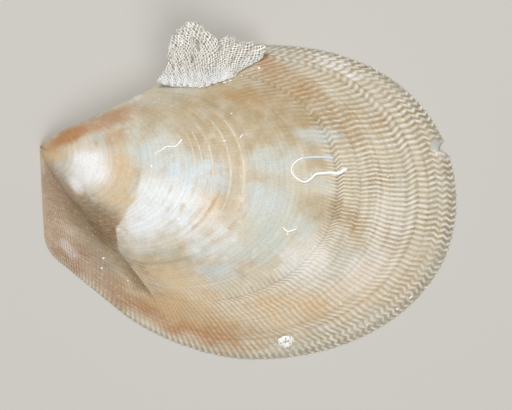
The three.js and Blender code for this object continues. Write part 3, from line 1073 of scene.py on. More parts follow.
@dataclass
class LaceFrond:
    """A frond of a lace colony: a folded net of limy threads that thickens to a pored crust at its foot.

    The outline starts with the corners of the foot. A hole is X, Y and a radius. The net's strands fan out
    from one place, and its layers lie behind each other. All sizes are in millimetres.
    """

    name: str
    node: str
    outline: tuple[Pair, ...]
    middle: Pair
    holes: tuple[Trio, ...]
    fan_from: Pair
    crust_height: float
    seam_rise: float = 0.0
    foot_corners: int = 6
    cell: float = 0.92
    stretch: float = 1.45
    layers: int = 3
    layer_gap: float = 0.75
    layer_opens: Pair = (0.0, 4.0)
    layer_shift: float = 0.6
    sway: Trio = (0.05, 9.0, 2.0)
    scatter: Pair = (0.3, 0.28)
    lattice_seed: int = 20
    weave_seed: int = 60
    sunk: float = 0.4
    fold: Trio = (0.85, 1.1, 2.1)
    lumps: Trio = (0.7, 2.4, 9.0)
    fold_shares: Pair = (0.2, 0.8)
    fold_starts: Pair = (0.5, 6.0)
    seam: Pair = (53.8, 1.6)
    seam_ends: Pair = (27.0, 31.0)
    seam_held: float = 0.85
    torn: Pair = (0.05, 8.0)
    hole_flat: float = 0.6
    crust_ends: Pair = (0.3, 1.2)
    thread: float = 0.5
    thickness: Trio = (0.5, 0.08, 0.18)
    uneven: float = 0.15
    thickness_range: Pair = (0.2, 1.0)

    def inside(self, places: Array) -> Array:
        """Tell which places lie inside the outline.

        Args:
            places: Rows of X and Y.

        Returns:
            True or false for each place.
        """
        ring = np.array(self.outline)
        x, y = places[:, 0], places[:, 1]
        found = np.zeros(len(places), bool)
        for (x0, y0), (x1, y1) in zip(ring, np.roll(ring, -1, axis=0)):
            crosses = (y0 > y) != (y1 > y)
            with np.errstate(divide="ignore", invalid="ignore"):
                found ^= crosses & (x < (x1 - x0) * (y - y0) / (y1 - y0) + x0)
        return found

    def above_foot(self, places: Array) -> Array:
        """How far above the foot each place is, straight up in the plan."""
        foot = np.array(sorted(self.outline[: self.foot_corners]))
        return places[:, 1] - np.interp(places[:, 0], foot[:, 0], foot[:, 1])

    def build(self, sheet: Ground) -> Piece:
        """Weave the frond's layers over the plain sheet that gives its height, as one object."""
        return join([self._layer(sheet, number) for number in range(self.layers)], self.name)

    def _lattice(self, number: int) -> tuple[Array, Array, int]:
        """Spread a layer's lattice, which widens away from where the strands fan out.

        Args:
            number: The layer's number.

        Returns:
            The lattice points in plan, the strand that each is on, and the points in a row.
        """
        chance = np.random.default_rng(self.lattice_seed + number)
        ring = np.array(self.outline) - np.array(self.fan_from)
        reach = np.log(np.linalg.norm(ring, axis=1))
        turn = np.arctan2(ring[:, 1], ring[:, 0])
        step = self.cell / math.exp(float(reach.mean())) / 2
        strands = np.arange(turn.min() - step, turn.max() + step, step)
        rows = np.arange(reach.min() - step, reach.max() + step, step * self.stretch)
        far, way = np.meshgrid(rows + number * step * self.layer_shift, strands, indexing="ij")
        wide, turns, lag = self.sway
        sideways, lengthways = self.scatter
        way = way + (wide * np.sin(far * turns + number * lag) + chance.normal(0, step * sideways, far.shape))
        far = np.exp(far + chance.normal(0, step * lengthways, far.shape))
        flat = np.stack([far * np.cos(way), far * np.sin(way)], axis=-1).reshape(-1, 2)
        return flat + np.array(self.fan_from), way.ravel() / step, len(strands)

    def _heights(self, sheet: Ground, number: int, places: Array, strand: Array) -> Array:
        """Work out how high a layer's points are.

        Args:
            sheet: The plain sheet that gives the frond's height.
            number: The layer's number.
            places: The points in plan.
            strand: The strand that each is on.

        Returns:
            Their heights on the sheet, with folds, and fused with the other frond at the seam.
        """
        above = self.above_foot(places)
        heights = np.array([sheet.near(*place)[0][2] for place in places])
        deep, turn, lag = self.fold
        high, grain, seed = self.lumps
        flat = np.pad(places, ((0, 0), (0, 1)))
        fold = deep * np.sin(strand * turn + number * lag) + high * rough(flat, grain, seed + number)
        at, width = self.seam
        seam = np.exp(-(((places[:, 0] - at) / width) ** 2)) * (1 - smooth(*self.seam_ends, places[:, 1]))
        least, more = self.fold_shares
        folded = fold * (least + more * smooth(*self.fold_starts, above)) * (1 - self.seam_held * seam)
        heights += folded + self.seam_rise * seam
        return heights - self.sunk - number * self.layer_gap * smooth(*self.layer_opens, above)

    def _layer(self, sheet: Ground, number: int) -> Piece:
        """Weave one layer of the net.

        Args:
            sheet: The plain sheet that gives the frond's height.
            number: The layer's number.

        Returns:
            The layer, as round threads between torn holes.
        """
        chance = np.random.default_rng(self.weave_seed + number)
        places, strand, width = self._lattice(number)
        rows, columns = np.meshgrid(
            np.arange(1, len(places) // width - 1), np.arange(1, width - 1), indexing="ij",
        )
        at = (rows * width + columns)[(rows + columns) % 2 == 0]
        cells = np.stack([at - width, at + 1, at + width, at - 1], axis=1)
        middles = places[cells].mean(axis=1)
        most, height = self.torn
        torn = most * np.clip(self.above_foot(middles) / height, 0, 1)
        kept = self.inside(middles) & (chance.random(len(middles)) > torn)
        for x, y, radius in self.holes:
            kept &= np.hypot(middles[:, 0] - x, (middles[:, 1] - y) * self.hole_flat) > radius
        chosen, cells = np.unique(cells[kept], return_inverse=True)
        places, strand = places[chosen], strand[chosen]
        heights = self._heights(sheet, number, places, strand)
        name = f"{self.name}_{number}"
        made = new_object(name, np.column_stack([places, heights]), cells.reshape(-1, 4).tolist())
        start, end = (self.crust_height * share for share in self.crust_ends)
        crusted = 1 - smooth(start, end, self.above_foot(places))
        # The layer's depth, by which the lace finish paints shade on the layers behind
        write_mask(made.data, "depth", np.full(len(chosen), number / (self.layers - 1)))
        write_mask(made.data, "crusted", crusted)
        middle, folded, more = self.thickness
        uneven = chance.uniform(-self.uneven, self.uneven, len(chosen))
        thick = middle + folded * np.sin(strand * self.fold[1]) + more * crusted + uneven * (1 + crusted)
        self._spin(made, thick)
        return made

    def _spin(self, made: Piece, thick: Array) -> None:
        """Turn the net's edges into round threads.

        Args:
            made: The net, as faces.
            thick: How thick the threads are at each point, as a share of a full thread.
        """
        group = made.vertex_groups.new(name="thickness")
        for index, share in enumerate(np.clip(thick, *self.thickness_range)):
            group.add([index], float(share), "REPLACE")
        ways = {"use_even_offset": False, "use_replace": True, "use_boundary": True}
        by_group = {"vertex_group": group.name, "thickness_vertex_group": 0.0}
        apply_modifier(made, "WIREFRAME", thickness=self.thread * MM, **by_group, **ways)
        apply_modifier(made, "SUBSURF", levels=1)
        bpy.ops.object.shade_smooth()


@dataclass
class ButtonColony:
    """A small round crust colony: a low button with a thin skirt and rays of tiny tubes.

    The place is in millimetres from the beak. What is said of the button's section is a share of its radius
    or of its height.
    """

    place: Pair = (73.8, -58.2)
    radius: float = 2.55
    height: float = 0.9
    lift: float = 0.1
    segments: tuple[int, int] = (44, 28)
    lobes: tuple[Trio, ...] = ((3.0, 0.05, 0.0), (7.0, 0.03, 1.0))
    skirt: float = 0.3
    dome: Trio = (0.25, 0.62, 0.36)
    shoulder: Pair = (0.97, 0.6)
    dimple: Pair = (0.42, 0.05)
    furrow: float = 0.1
    furrow_starts: Pair = (0.2, 0.5)
    furrow_ends: Pair = (1.0, 0.85)
    rays: int = 11
    ray_sway: float = 0.08
    seed: int = 8
    tube_places: Trio = (0.42, 0.6, 0.78)
    tube_segments: tuple[int, int] = (10, 6)
    tube_radii: Pair = (0.13, 0.055)
    tube_foot: Pair = (0.3, 0.45)
    tube_rise: float = 0.1

    def build(self, ground: Ground) -> Piece:
        """Make the button and its tubes on the ground.

        Args:
            ground: The surface that it grows on.

        Returns:
            The button as one object.
        """
        point, out = ground.near(*self.place)
        lie = ground.lie(out)
        made = join([self._crust(lie), *self._tubes(lie)], "button_crust")
        for vertex in made.data.vertices:
            vertex.co = to_frame(np.array(vertex.co) + point + out * self.lift)
        bpy.ops.object.shade_smooth()
        return made

    def _crust(self, lie: Matrix) -> Piece:
        """Shape the button out of a ball.

        Args:
            lie: The turn that lays it on the surface.

        Returns:
            The button, in millimetres about its own middle.
        """
        deselect()
        segments, rings = self.segments
        bpy.ops.mesh.primitive_uv_sphere_add(segments=segments, ring_count=rings, radius=1.0)
        made = bpy.context.object
        for vertex in made.data.vertices:
            x, y, _ = vertex.co
            reach = 1.0
            for count, deep, turn in self.lobes:
                reach += deep * math.sin(count * math.atan2(y, x) + turn)
            rise = self._rise(vertex.co) * self.height
            vertex.co = lie @ Vector((x * self.radius * reach, y * self.radius * reach, rise))
        return made

    def _rise(self, place: Vector) -> float:
        """How high the button's surface is: a skirt, a shoulder, furrows between the rays and a dimple.

        Args:
            place: The place on a ball of radius one.

        Returns:
            A share of the button's height.
        """
        x, y, z = place
        if z <= 0:
            return self.skirt * z
        far = math.hypot(x, y)
        ball, shoulder, dimple = self.dome
        rise = float(ball * z + shoulder * smooth(*self.shoulder, far) - dimple * smooth(*self.dimple, far))
        furrowed = float(smooth(*self.furrow_starts, far) * smooth(*self.furrow_ends, far))
        return rise + self.furrow * math.cos(self.rays * math.atan2(y, x)) * furrowed

    def _tubes(self, lie: Matrix) -> list[Piece]:
        """Set the mouths of tiny tubes along the rays.

        Args:
            lie: The turn that lays them on the surface.

        Returns:
            The mouths, in millimetres about the button's middle.
        """
        chance = random.Random(self.seed)
        foot, more = self.tube_foot
        (major_segments, minor_segments), (major_radius, minor_radius) = self.tube_segments, self.tube_radii
        made = []
        for ray in range(self.rays):
            angle = ray / self.rays * 2 * math.pi + chance.uniform(-self.ray_sway, self.ray_sway)
            for share in self.tube_places:
                x, y = share * math.cos(angle), share * math.sin(angle)
                top = float(foot + more * smooth(*self.shoulder, math.hypot(x, y)))
                deselect()
                bpy.ops.mesh.primitive_torus_add(
                    major_segments=major_segments,
                    minor_segments=minor_segments,
                    major_radius=major_radius,
                    minor_radius=minor_radius,
                )
                mouth = bpy.context.object
                place = Vector((x * self.radius, y * self.radius, top * self.height + self.tube_rise))
                for vertex in mouth.data.vertices:
                    vertex.co = lie @ (vertex.co + place)
                made.append(mouth)
        return made


@dataclass
class Grains:
    """Loose-looking grains of lime and broken crust that cling to the shell.

    Each is X, Y, length, width and the degrees that it is turned by.
    """

    grains: tuple[tuple[float, float, float, float, float], ...]
    name: str = "lime_grains"
    flatness: float = 0.7
    bump: float = 0.35
    bumps: float = 4.0
    subdivisions: int = 3

    def build(self, ground: Ground) -> Piece:
        """Put each grain on the ground.

        Args:
            ground: The surface that they cling to.

        Returns:
            The grains as one object.
        """
        made = join([self._grain(ground, number) for number in range(len(self.grains))], self.name)
        bpy.ops.object.shade_smooth()
        return made

    def _grain(self, ground: Ground, number: int) -> Piece:
        """Shape one grain out of a ball.

        Args:
            ground: The surface that it clings to.
            number: The grain's number.

        Returns:
            The grain.
        """
        x, y, length, width, turn = self.grains[number]
        point, out = ground.near(x, y)
        lie = ground.lie(out)
        across, along = math.sin(math.radians(turn)), math.cos(math.radians(turn))
        deselect()
        bpy.ops.mesh.primitive_ico_sphere_add(subdivisions=self.subdivisions, radius=0.5)
        made = bpy.context.object
        for vertex in made.data.vertices:
            bumpy = 1 + self.bump * noise.noise(vertex.co * self.bumps + Vector((number, 0, 0)))
            x0, y0, z0 = vertex.co * bumpy
            flat = Vector((
                x0 * length * along - y0 * width * across,
                x0 * length * across + y0 * width * along,
                z0 * min(length, width) * self.flatness,
            ))
            vertex.co = to_frame(np.array(lie @ flat) + point)
        return made


# Finishes


def feed(node: bpy.types.Node, inputs: dict[str | int, object]) -> None:
    """Set a node's sockets, or link them to what feeds them.

    Args:
        node: The node.
        inputs: A value for each socket, by name or number, or the output that feeds it.
    """
    for socket, value in inputs.items():
        if isinstance(value, Socket):
            node.id_data.links.new(value, node.inputs[socket])
        else:
            node.inputs[socket].default_value = value


def add_node(
    tree: bpy.types.NodeTree,
    kind: str,
    inputs: dict[str | int, object] | None = None,
    out: str | int = 0,
    **settings: object,
) -> Socket:
    """Add a node with its settings, values and links.

    Args:
        tree: The tree that it goes in.
        kind: The node's type, without its leading ShaderNode.
        inputs: A value for each socket, by name or number, or the output that feeds it.
        out: The output that is wanted, by name or number.
        **settings: The node's properties by name.

    Returns:
        The wanted output of the new node.
    """
    node = tree.nodes.new("ShaderNode" + kind)
    for name, value in settings.items():
        setattr(node, name, value)
    feed(node, inputs or {})
    return node.outputs[out]


def new_material(name: str) -> tuple[bpy.types.Material, bpy.types.Node]:
    """Make a material.

    Args:
        name: Its name.

    Returns:
        The material and its shader.
    """
    material = bpy.data.materials.new(name)
    material.use_nodes = True
    return material, material.node_tree.nodes["Principled BSDF"]


def per_mm(size_mm: float) -> float:
    """The scale of a pattern whose lumps have a size, on places in metres."""
    return 1 / (size_mm * MM)


def per_stage(size_mm: float) -> float:
    """The scale of a pattern whose bands have a width, on stages: how many there are on the whole valve."""
    return float(round(VALVE_MM / size_mm))


@dataclass(frozen=True)
class Wash:
    """A colour laid thinly over another, as strong as a pattern says.

    It goes from one strength where the pattern is low to another where it is high.
    """

    code: str
    low: float
    high: float
    at_high: float = 1.0
    at_low: float = 0.0
    blend: str = "MIX"

    def over(self, below: Socket | Colour, pattern: Socket, where: object = 1.0) -> Socket:
        """Lay the colour.

        Args:
            below: The colour under it.
            pattern: The pattern that it follows.
            where: A second mask, which the strength is multiplied by.

        Returns:
            The two colours together.
        """
        add = partial(add_node, pattern.id_data)
        share = add("MapRange", {0: pattern, 1: self.low, 2: self.high, 3: self.at_low, 4: self.at_high})
        share = add("Math", {0: share, 1: where}, operation="MULTIPLY")
        inputs = {0: share, 6: below, 7: linear(self.code)}
        return add("Mix", inputs, 2, data_type="RGBA", blend_type=self.blend)


@dataclass(frozen=True)
class Shade:
    """How much a pattern darkens or lightens a colour, from where it is low to where it is high."""

    low: float
    high: float
    at_low: float
    at_high: float

    def over(self, below: Socket, pattern: Socket, where: object = 1.0) -> Socket:
        """Shade a colour.

        Args:
            below: The colour.
            pattern: The pattern that it follows.
            where: How much of it shows.

        Returns:
            The shaded colour.
        """
        add = partial(add_node, pattern.id_data)
        grey = add("MapRange", {0: pattern, 1: self.low, 2: self.high, 3: self.at_low, 4: self.at_high})
        return add("Mix", {0: where, 6: below, 7: grey}, 2, data_type="RGBA", blend_type="MULTIPLY")


@dataclass(frozen=True)
class Tint:
    """What a pigment looks like: its colour, and its strength off and on the blotches.

    Two pigments also differ on the two sides of the old edge.
    """

    code: str
    between: float
    within: float
    before_edge: float = 1.0
    beyond_edge: float = 1.0


class Pigment(Enum):
    """What has coloured the calcite, in the order of painting.

    The dark brown also paints shade, and the chalk white also paints highlights.
    """

    STRAW = Tint("#b49f7b", 0.68, 1.12)
    HAZE = Tint("#c8cbc1", 1.15, 0.5)
    OCHRE = Tint("#bd9765", 0.75, 1.1)
    GLAZE = Tint("#cfd8da", 1.1, 0.6)
    BLOOM = Tint("#eef1f1", 1.1, 0.8, before_edge=0.1)
    HONEY = Tint("#dfc095", 0.75, 1.15)
    # Dark brown: a stain, and also painted shade on the slope of the fold behind the ear and at the lower rim
    UMBER_AND_SHADE = Tint("#937654", 1.0, 0.9, beyond_edge=0.12)
    ROSE = Tint("#ab8c71", 1.05, 0.85)
    AMBER = Tint("#bb8656", 0.85, 1.05)
    # Chalk white: worn calcite, and also a painted highlight on the beak's hump and along the upper rim
    CHALK_AND_HIGHLIGHT = Tint("#f8f6f3", 1.1, 0.85)


@dataclass(frozen=True)
class Patch:
    """A soft-edged ellipse seen from above: its middle and half its length and width, in millimetres."""

    x: float
    y: float
    length: float
    width: float
    turn: float = 0.0
    strength: float = 1.0
    fades: Pair = (0.35, 1.25)

    def mask(self, places: Array) -> Array:
        """How strong the patch is at each of many places.

        Args:
            places: Rows that start with X and Y, in millimetres from the beak.

        Returns:
            From nought to the patch's strength for each place.
        """
        turn = math.radians(self.turn)
        x, y = places[:, 0] - self.x, places[:, 1] - self.y
        along = x * math.cos(turn) + y * math.sin(turn)
        across = y * math.cos(turn) - x * math.sin(turn)
        far = np.hypot(along / self.length, across / self.width)
        return self.strength * (1 - smooth(*self.fades, far))


# Each pigment's patches, listed with the fields of Patch in order
STAINS = {
    Pigment.STRAW: (
        (45.0, 9.0, 24.0, 9.0, 18, 0.7), (74.0, 10.0, 26.0, 11.0, -14, 0.95),
        (49.0, 1.0, 7.0, 8.0, 0, 0.6), (85.0, -19.0, 10.0, 5.2, -12),
        (31.0, -33.0, 12.0, 5.0, -32, 0.35), (58.0, 1.0, 22.0, 6.0, -5, 0.6),
        (44.0, -35.0, 14.0, 5.0, -12, 0.5), (54.0, -12.0, 5.0, 12.0, 5, 0.5),
        (64.0, -10.5, 12.0, 4.5, 5, 0.4), (82.0, -5.5, 5.0, 3.5, 0, 0.8),
    ),
    Pigment.OCHRE: (
        (62.0, 14.5, 12.0, 3.5, -12, 0.45), (73.0, 20.0, 12.0, 5.0, -28, 0.5),
        (82.5, 16.5, 8.0, 3.4, -42, 0.5), (92.0, 6.0, 8.0, 4.0, -50, 0.3),
        (101.0, 7.0, 3.0, 5.0, 20, 0.45), (94.0, -25.0, 3.6, 5.5, 0, 0.55),
        (104.0, -30.0, 2.6, 5.0, -20, 0.55), (42.0, -50.0, 26.0, 6.5, -20, 0.8),
        (62.0, -55.5, 22.0, 4.5, 0, 0.35), (84.0, -50.0, 6.0, 3.5, 20, 0.4),
        (55.0, -10.0, 5.0, 11.0, 5, 0.2),
    ),
    Pigment.HAZE: (
        (68.5, -16.0, 9.0, 7.0, 10), (72.0, -26.0, 14.0, 7.0, 15, 0.8), (83.0, 3.5, 8.0, 3.2, 0, 0.9),
        (70.0, -4.0, 8.0, 6.5, -30, 0.8), (34.0, 1.0, 11.0, 7.0, 30, 0.6),
        (92.0, -34.0, 9.0, 4.5, 25, 0.6),
    ),
    Pigment.GLAZE: (
        (46.0, -8.0, 12.5, 6.5, -8), (36.0, -2.5, 7.0, 5.0, 20, 0.6), (67.0, -16.0, 6.5, 5.0, 20, 0.45),
        (53.0, -37.5, 7.0, 3.4, -8, 0.55), (118.9, 0.4, 2.2, 2.2),
    ),
    Pigment.BLOOM: (
        (31.0, -19.0, 12.0, 10.5, 55), (42.0, -18.0, 13.0, 9.5, -10, 0.85),
        (50.0, -26.0, 13.0, 6.5, -10, 0.5),
    ),
    Pigment.HONEY: (
        (23.5, -10.0, 6.5, 11.0, 8, 0.7), (24.5, -24.0, 5.0, 7.0, -25, 0.3),
        (50.0, -18.0, 5.0, 8.0, -15, 0.45), (7.0, -1.0, 8.0, 3.6, 10, 0.4),
        (3.0, -2.5, 3.5, 4.0, 0, 0.8), (40.0, -43.0, 19.0, 9.0, -18, 0.55),
        (74.0, -48.0, 18.0, 6.5, 8, 0.6), (97.0, -41.0, 17.0, 8.0, 25, 0.4),
    ),
    # Dark brown in the fold behind the ear, a stain that also paints the shade on its slope; the last patch
    # is painted shade by the lower rim
    Pigment.UMBER_AND_SHADE: (
        (14.0, -20.5, 13.0, 6.5, -32, 0.85), (20.5, -25.0, 8.0, 6.5, -58, 0.85),
        (31.0, -39.0, 13.0, 3.8, -42, 0.85), (7.0, -14.0, 6.5, 3.2, -66, 0.3),
        (17.5, -32.5, 13.0, 4.4, -44, 0.6), (118.0, -38.0, 14.0, 4.0, 60, 0.3),
    ),
    Pigment.ROSE: (
        (3.0, -10.0, 3.0, 6.5, 0, 0.6), (8.0, -12.5, 3.0, 6.0, 35, 0.45),
        (3.5, -20.0, 5.5, 15.0, 0, 0.75), (10.0, -33.0, 11.0, 6.0, -40, 0.9),
        (24.0, -44.0, 15.0, 4.5, -37, 0.75),
    ),
    Pigment.AMBER: (
        (9.5, 3.2, 10.0, 2.8, 25, 0.9), (22.0, 8.2, 9.0, 2.6, 27, 0.7), (22.5, 2.5, 3.0, 3.6, 0, 0.5),
        (47.0, -55.5, 16.0, 3.2, -16, 0.65), (31.0, -48.0, 11.0, 2.6, -33, 0.4),
        (68.0, 24.0, 6.0, 2.6, -20, 0.45),
    ),
    # Chalk white; the first patch, on the crest of the beak's hump, and the band along the upper rim are
    # partly painted highlight
    Pigment.CHALK_AND_HIGHLIGHT: (
        (15.5, -6.3, 6.5, 8.0, 45), (8.7, -30.5, 3.6, 2.0, -40, 0.3), (11.0, -11.2, 3.6, 1.8, -50, 0.75),
        (89.5, 24.0, 10.0, 2.2, -27, 0.6), (80.0, -34.0, 9.0, 8.0, 20, 0.45),
        (97.0, -38.0, 13.0, 6.0, 28, 0.35), (104.0, -22.0, 7.0, 14.0, -12, 0.3),
        (119.6, -2.2, 2.6, 0.9, -16),
    ),
}


@dataclass(frozen=True)
class OldEdge:
    """The sharp edge where a bluish later layer of shell begins, as a stage for each direction in degrees."""

    edge: tuple[Pair, ...] = (
        (-90.0, 1.1), (-54.0, 1.1), (-52.5, 0.8), (-51.0, 0.6), (-50.0, 0.52), (-48.0, 0.465), (-45.0, 0.415),
        (-42.0, 0.38), (-38.0, 0.36), (-34.0, 0.345), (-30.0, 0.33), (-10.0, 0.3), (30.0, 0.24),
    )

    def beyond(self, places: Array, stage: Array) -> Array:
        """How far beyond the edge each place is.

        Args:
            places: Rows of X, Y, Z in millimetres from the beak.
            stage: The stage of each.

        Returns:
            A share of the full size for each, below nought before the edge.
        """
        turn = GrowthForm.full_turn_up * (1 - np.sqrt(stage))
        degrees = np.degrees(np.arctan2(places[:, 1], places[:, 0] / np.cos(turn)))
        at, stages = np.array(self.edge).T
        return stage - np.interp(degrees, at, stages)


@dataclass(frozen=True)
class Weathering:
    """Where the sea, the years and the animal left their marks, as masks on the valve's mesh.

    The edges of the patches wander by as much as the lumps say, more so away from the beak. The dark brown
    patches also paint shade, and the chalk white ones also paint highlights.
    """

    stains: dict[Pigment, tuple[tuple[float, ...], ...]]
    edge: OldEdge = OldEdge()
    scar: Patch = Patch(67.0, -21.0, 14.5, 10.5, 25)
    scar_ragged: float = 1.4
    streaks: Patch = Patch(50.0, -18.0, 14.0, 15.0, -35, 0.7)
    arcs: Patch = Patch(58.0, -4.0, 20.0, 17.0, 0, 0.6)
    ligament: Patch = Patch(3.1, -6.6, 2.0, 6.4, 12)
    ligament_top: float = 1.5
    lump_mm: float = 5.0
    lump_seeds: Pair = (20.0, 30.0)
    wander: Pair = (0.6, 1.8)
    wander_grows: Pair = (15.0, 50.0)

    def paint(self, piece: Piece) -> None:
        """Write the masks into the valve's mesh.

        Args:
            piece: The valve.
        """
        mesh = piece.data
        places = np.zeros(len(mesh.vertices) * 3)
        mesh.vertices.foreach_get("co", places)
        places = from_frame(places.reshape(-1, 3))
        growth = np.zeros(len(mesh.loops) * 2)
        mesh.uv_layers["growth"].data.foreach_get("uv", growth)
        stage = np.zeros(len(places))
        stage[corner_points(mesh)] = growth[1::2]
        for name, values in self.masks(places, stage).items():
            write_mask(mesh, name, values)

    def masks(self, places: Array, stage: Array) -> dict[str, Array]:
        """Work out every mask.

        Args:
            places: Rows of X, Y, Z in millimetres from the beak.
            stage: The stage of each.

        Returns:
            A value for each place, by the mask's name.
        """
        least, more = self.wander
        uneven = np.stack([rough(places, self.lump_mm, seed) for seed in self.lump_seeds], axis=1)
        uneven *= least + more * smooth(*self.wander_grows, np.hypot(places[:, 0], places[:, 1]))[:, None]
        moved = places[:, :2] + uneven
        made = {
            "beyond_edge": self.edge.beyond(places, stage),
            "scar": self.scar.mask(places[:, :2] + uneven * self.scar_ragged),
            "streaks": self.streaks.mask(moved),
            "arcs": self.arcs.mask(moved),
            "ligament": self.ligament.mask(places) * (places[:, 2] < self.ligament_top),
        }
        for pigment in Pigment:
            clear = np.ones(len(places))
            for fields in self.stains[pigment]:
                clear *= 1 - Patch(*fields).mask(moved)
            made[pigment.name.lower()] = 1 - clear
        return made


class GrowthPatterns:
    """The patterns that the layers of a valve's finish share, as outputs in its node tree."""

    rim_width = (0.0012, 0.0034)
    rim_gaps = (0.4, 0.58, 0.25)

    def __init__(self, tree: bpy.types.NodeTree) -> None:
        """Read the place, the rib phase and the stage, and how each rib rises and falls.

        Args:
            tree: The tree of the finish.
        """
        self.add = partial(add_node, tree)
        self.place = self.add("TexCoord", out="Object")
        self.growth = self.add("UVMap", out="UV", uv_map="growth")
        self.phase = self.add("SeparateXYZ", {0: self.growth}, "X")
        self.stage = self.add("SeparateXYZ", {0: self.growth}, "Y")
        turn = self.add("Math", {0: self.phase, 1: 2 * math.pi}, operation="MULTIPLY")
        self.wave = self.add("Math", {0: turn}, operation="COSINE")

    def mask(self, name: str) -> Socket:
        """Read one of the mesh's masks."""
        return self.add("Attribute", out="Fac", attribute_name=name)

    def lumps(self, size_mm: float, detail: float, moved_m: float = 0.0) -> Socket:
        """Spread lumps over the surface, and finer ones on them; moved along X they are another pattern."""
        place = self.add("VectorMath", {0: self.place, 1: (moved_m, 0.0, 0.0)}, operation="ADD")
        return self.add("TexNoise", {"Vector": place, "Scale": per_mm(size_mm), "Detail": detail})

    def bands(self, size_mm: float, detail: float, sway: object = 0.0, by: float = 0.0) -> Socket:
        """Draw bands along the old rims.

        Args:
            size_mm: The width of the bands.
            detail: How many finer sizes they have.
            sway: A pattern that they sway with.
            by: How far they sway, as a share of the full size.

        Returns:
            The bands.
        """
        swayed = self.add("Math", {0: sway, 1: by, 2: self.stage}, operation="MULTIPLY_ADD")
        inputs = {"W": swayed, "Scale": per_stage(size_mm), "Detail": detail}
        return self.add("TexNoise", inputs, noise_dimensions="1D")

    def scales(self, per_rib: float, size_mm: float, detail: float) -> Socket:
        """Draw lumps that keep to the ribs and the old rims.

        Args:
            per_rib: How many there are across a rib.
            size_mm: How long they are in the direction of growth.
            detail: How many finer sizes they have.

        Returns:
            The lumps.
        """
        times = (per_rib, per_stage(size_mm), 0.0)
        grid = self.add("VectorMath", {0: self.growth, 1: times}, operation="MULTIPLY")
        return self.add("TexNoise", {"Vector": grid, "Scale": 1.0, "Detail": detail})

    def rims(self, stages: tuple[float, ...], where: Socket, broken: Socket) -> Socket:
        """Draw thin broken lines along old rims.

        Args:
            stages: The stages of the old rims.
            where: How well the lines show from place to place.
            broken: The pattern that breaks them.

        Returns:
            The lines' mask.
        """
        nearest = None
        for at in stages:
            off = self.add("Math", {0: self.stage, 1: at}, operation="SUBTRACT")
            off = self.add("Math", {0: off}, operation="ABSOLUTE")
            nearest = off if nearest is None else self.add("Math", {0: nearest, 1: off}, operation="MINIMUM")
        (full, none), (gap, whole, left) = self.rim_width, self.rim_gaps
        lines = self.add("MapRange", {0: nearest, 1: full, 2: none, 3: 1.0, 4: 0.0})
        kept = self.add("MapRange", {0: broken, 1: gap, 2: whole, 3: left, 4: 1.0})
        shown = self.add("Math", {0: where, 1: lines}, operation="MULTIPLY")
        return self.add("Math", {0: shown, 1: kept}, operation="MULTIPLY")


class CalcitePatterns(GrowthPatterns):
    """The patterns that the layers of the worn calcite share, by the size of their lumps.

    Real grit is under a tenth of a millimetre. That wouldn't show, so it is drawn as coarse as it needs to.
    """

    broad_mm = 9.0
    blotch_mm = 4.5
    mottle_mm = 2.2
    grit_mm = 0.45
    scale_mm = 1.62
    scales_per_rib = 0.8
    chalky_range = (0.36, 0.6, 0.0, 1.1)

    def __init__(self, tree: bpy.types.NodeTree) -> None:
        """Add the shared patterns.

        Args:
            tree: The tree of the finish.
        """
        super().__init__(tree)
        self.ribbing = self.mask("ribbing")
        # The dark brown mask holds painted shade as well as stain; with the rose it sets where smudges and
        # flecks go and the ribs fade
        self.dust_and_shade = self.add("Math", {0: self.mask("umber_and_shade"), 1: self.mask("rose")}, operation="MAXIMUM")
        self.broad = self.lumps(self.broad_mm, 4.0)
        self.blotches = self.lumps(self.blotch_mm, 7.0)
        self.mottle = self.lumps(self.mottle_mm, 6.0)
        self.grit = self.lumps(self.grit_mm, 2.0)
        scales = self.scales(self.scales_per_rib, self.scale_mm, 2.0)
        low, high, least, most = self.chalky_range
        self.chalky = self.add("MapRange", {0: scales, 1: low, 2: high, 3: least, 4: most})


# Calcite and aragonite both bend light by about 1.6. Limy surfaces aren't metallic, and their pores and
# dust throw back less of it than a polished crystal would, which each finish says as its sheen.
LIME_IOR = 1.6


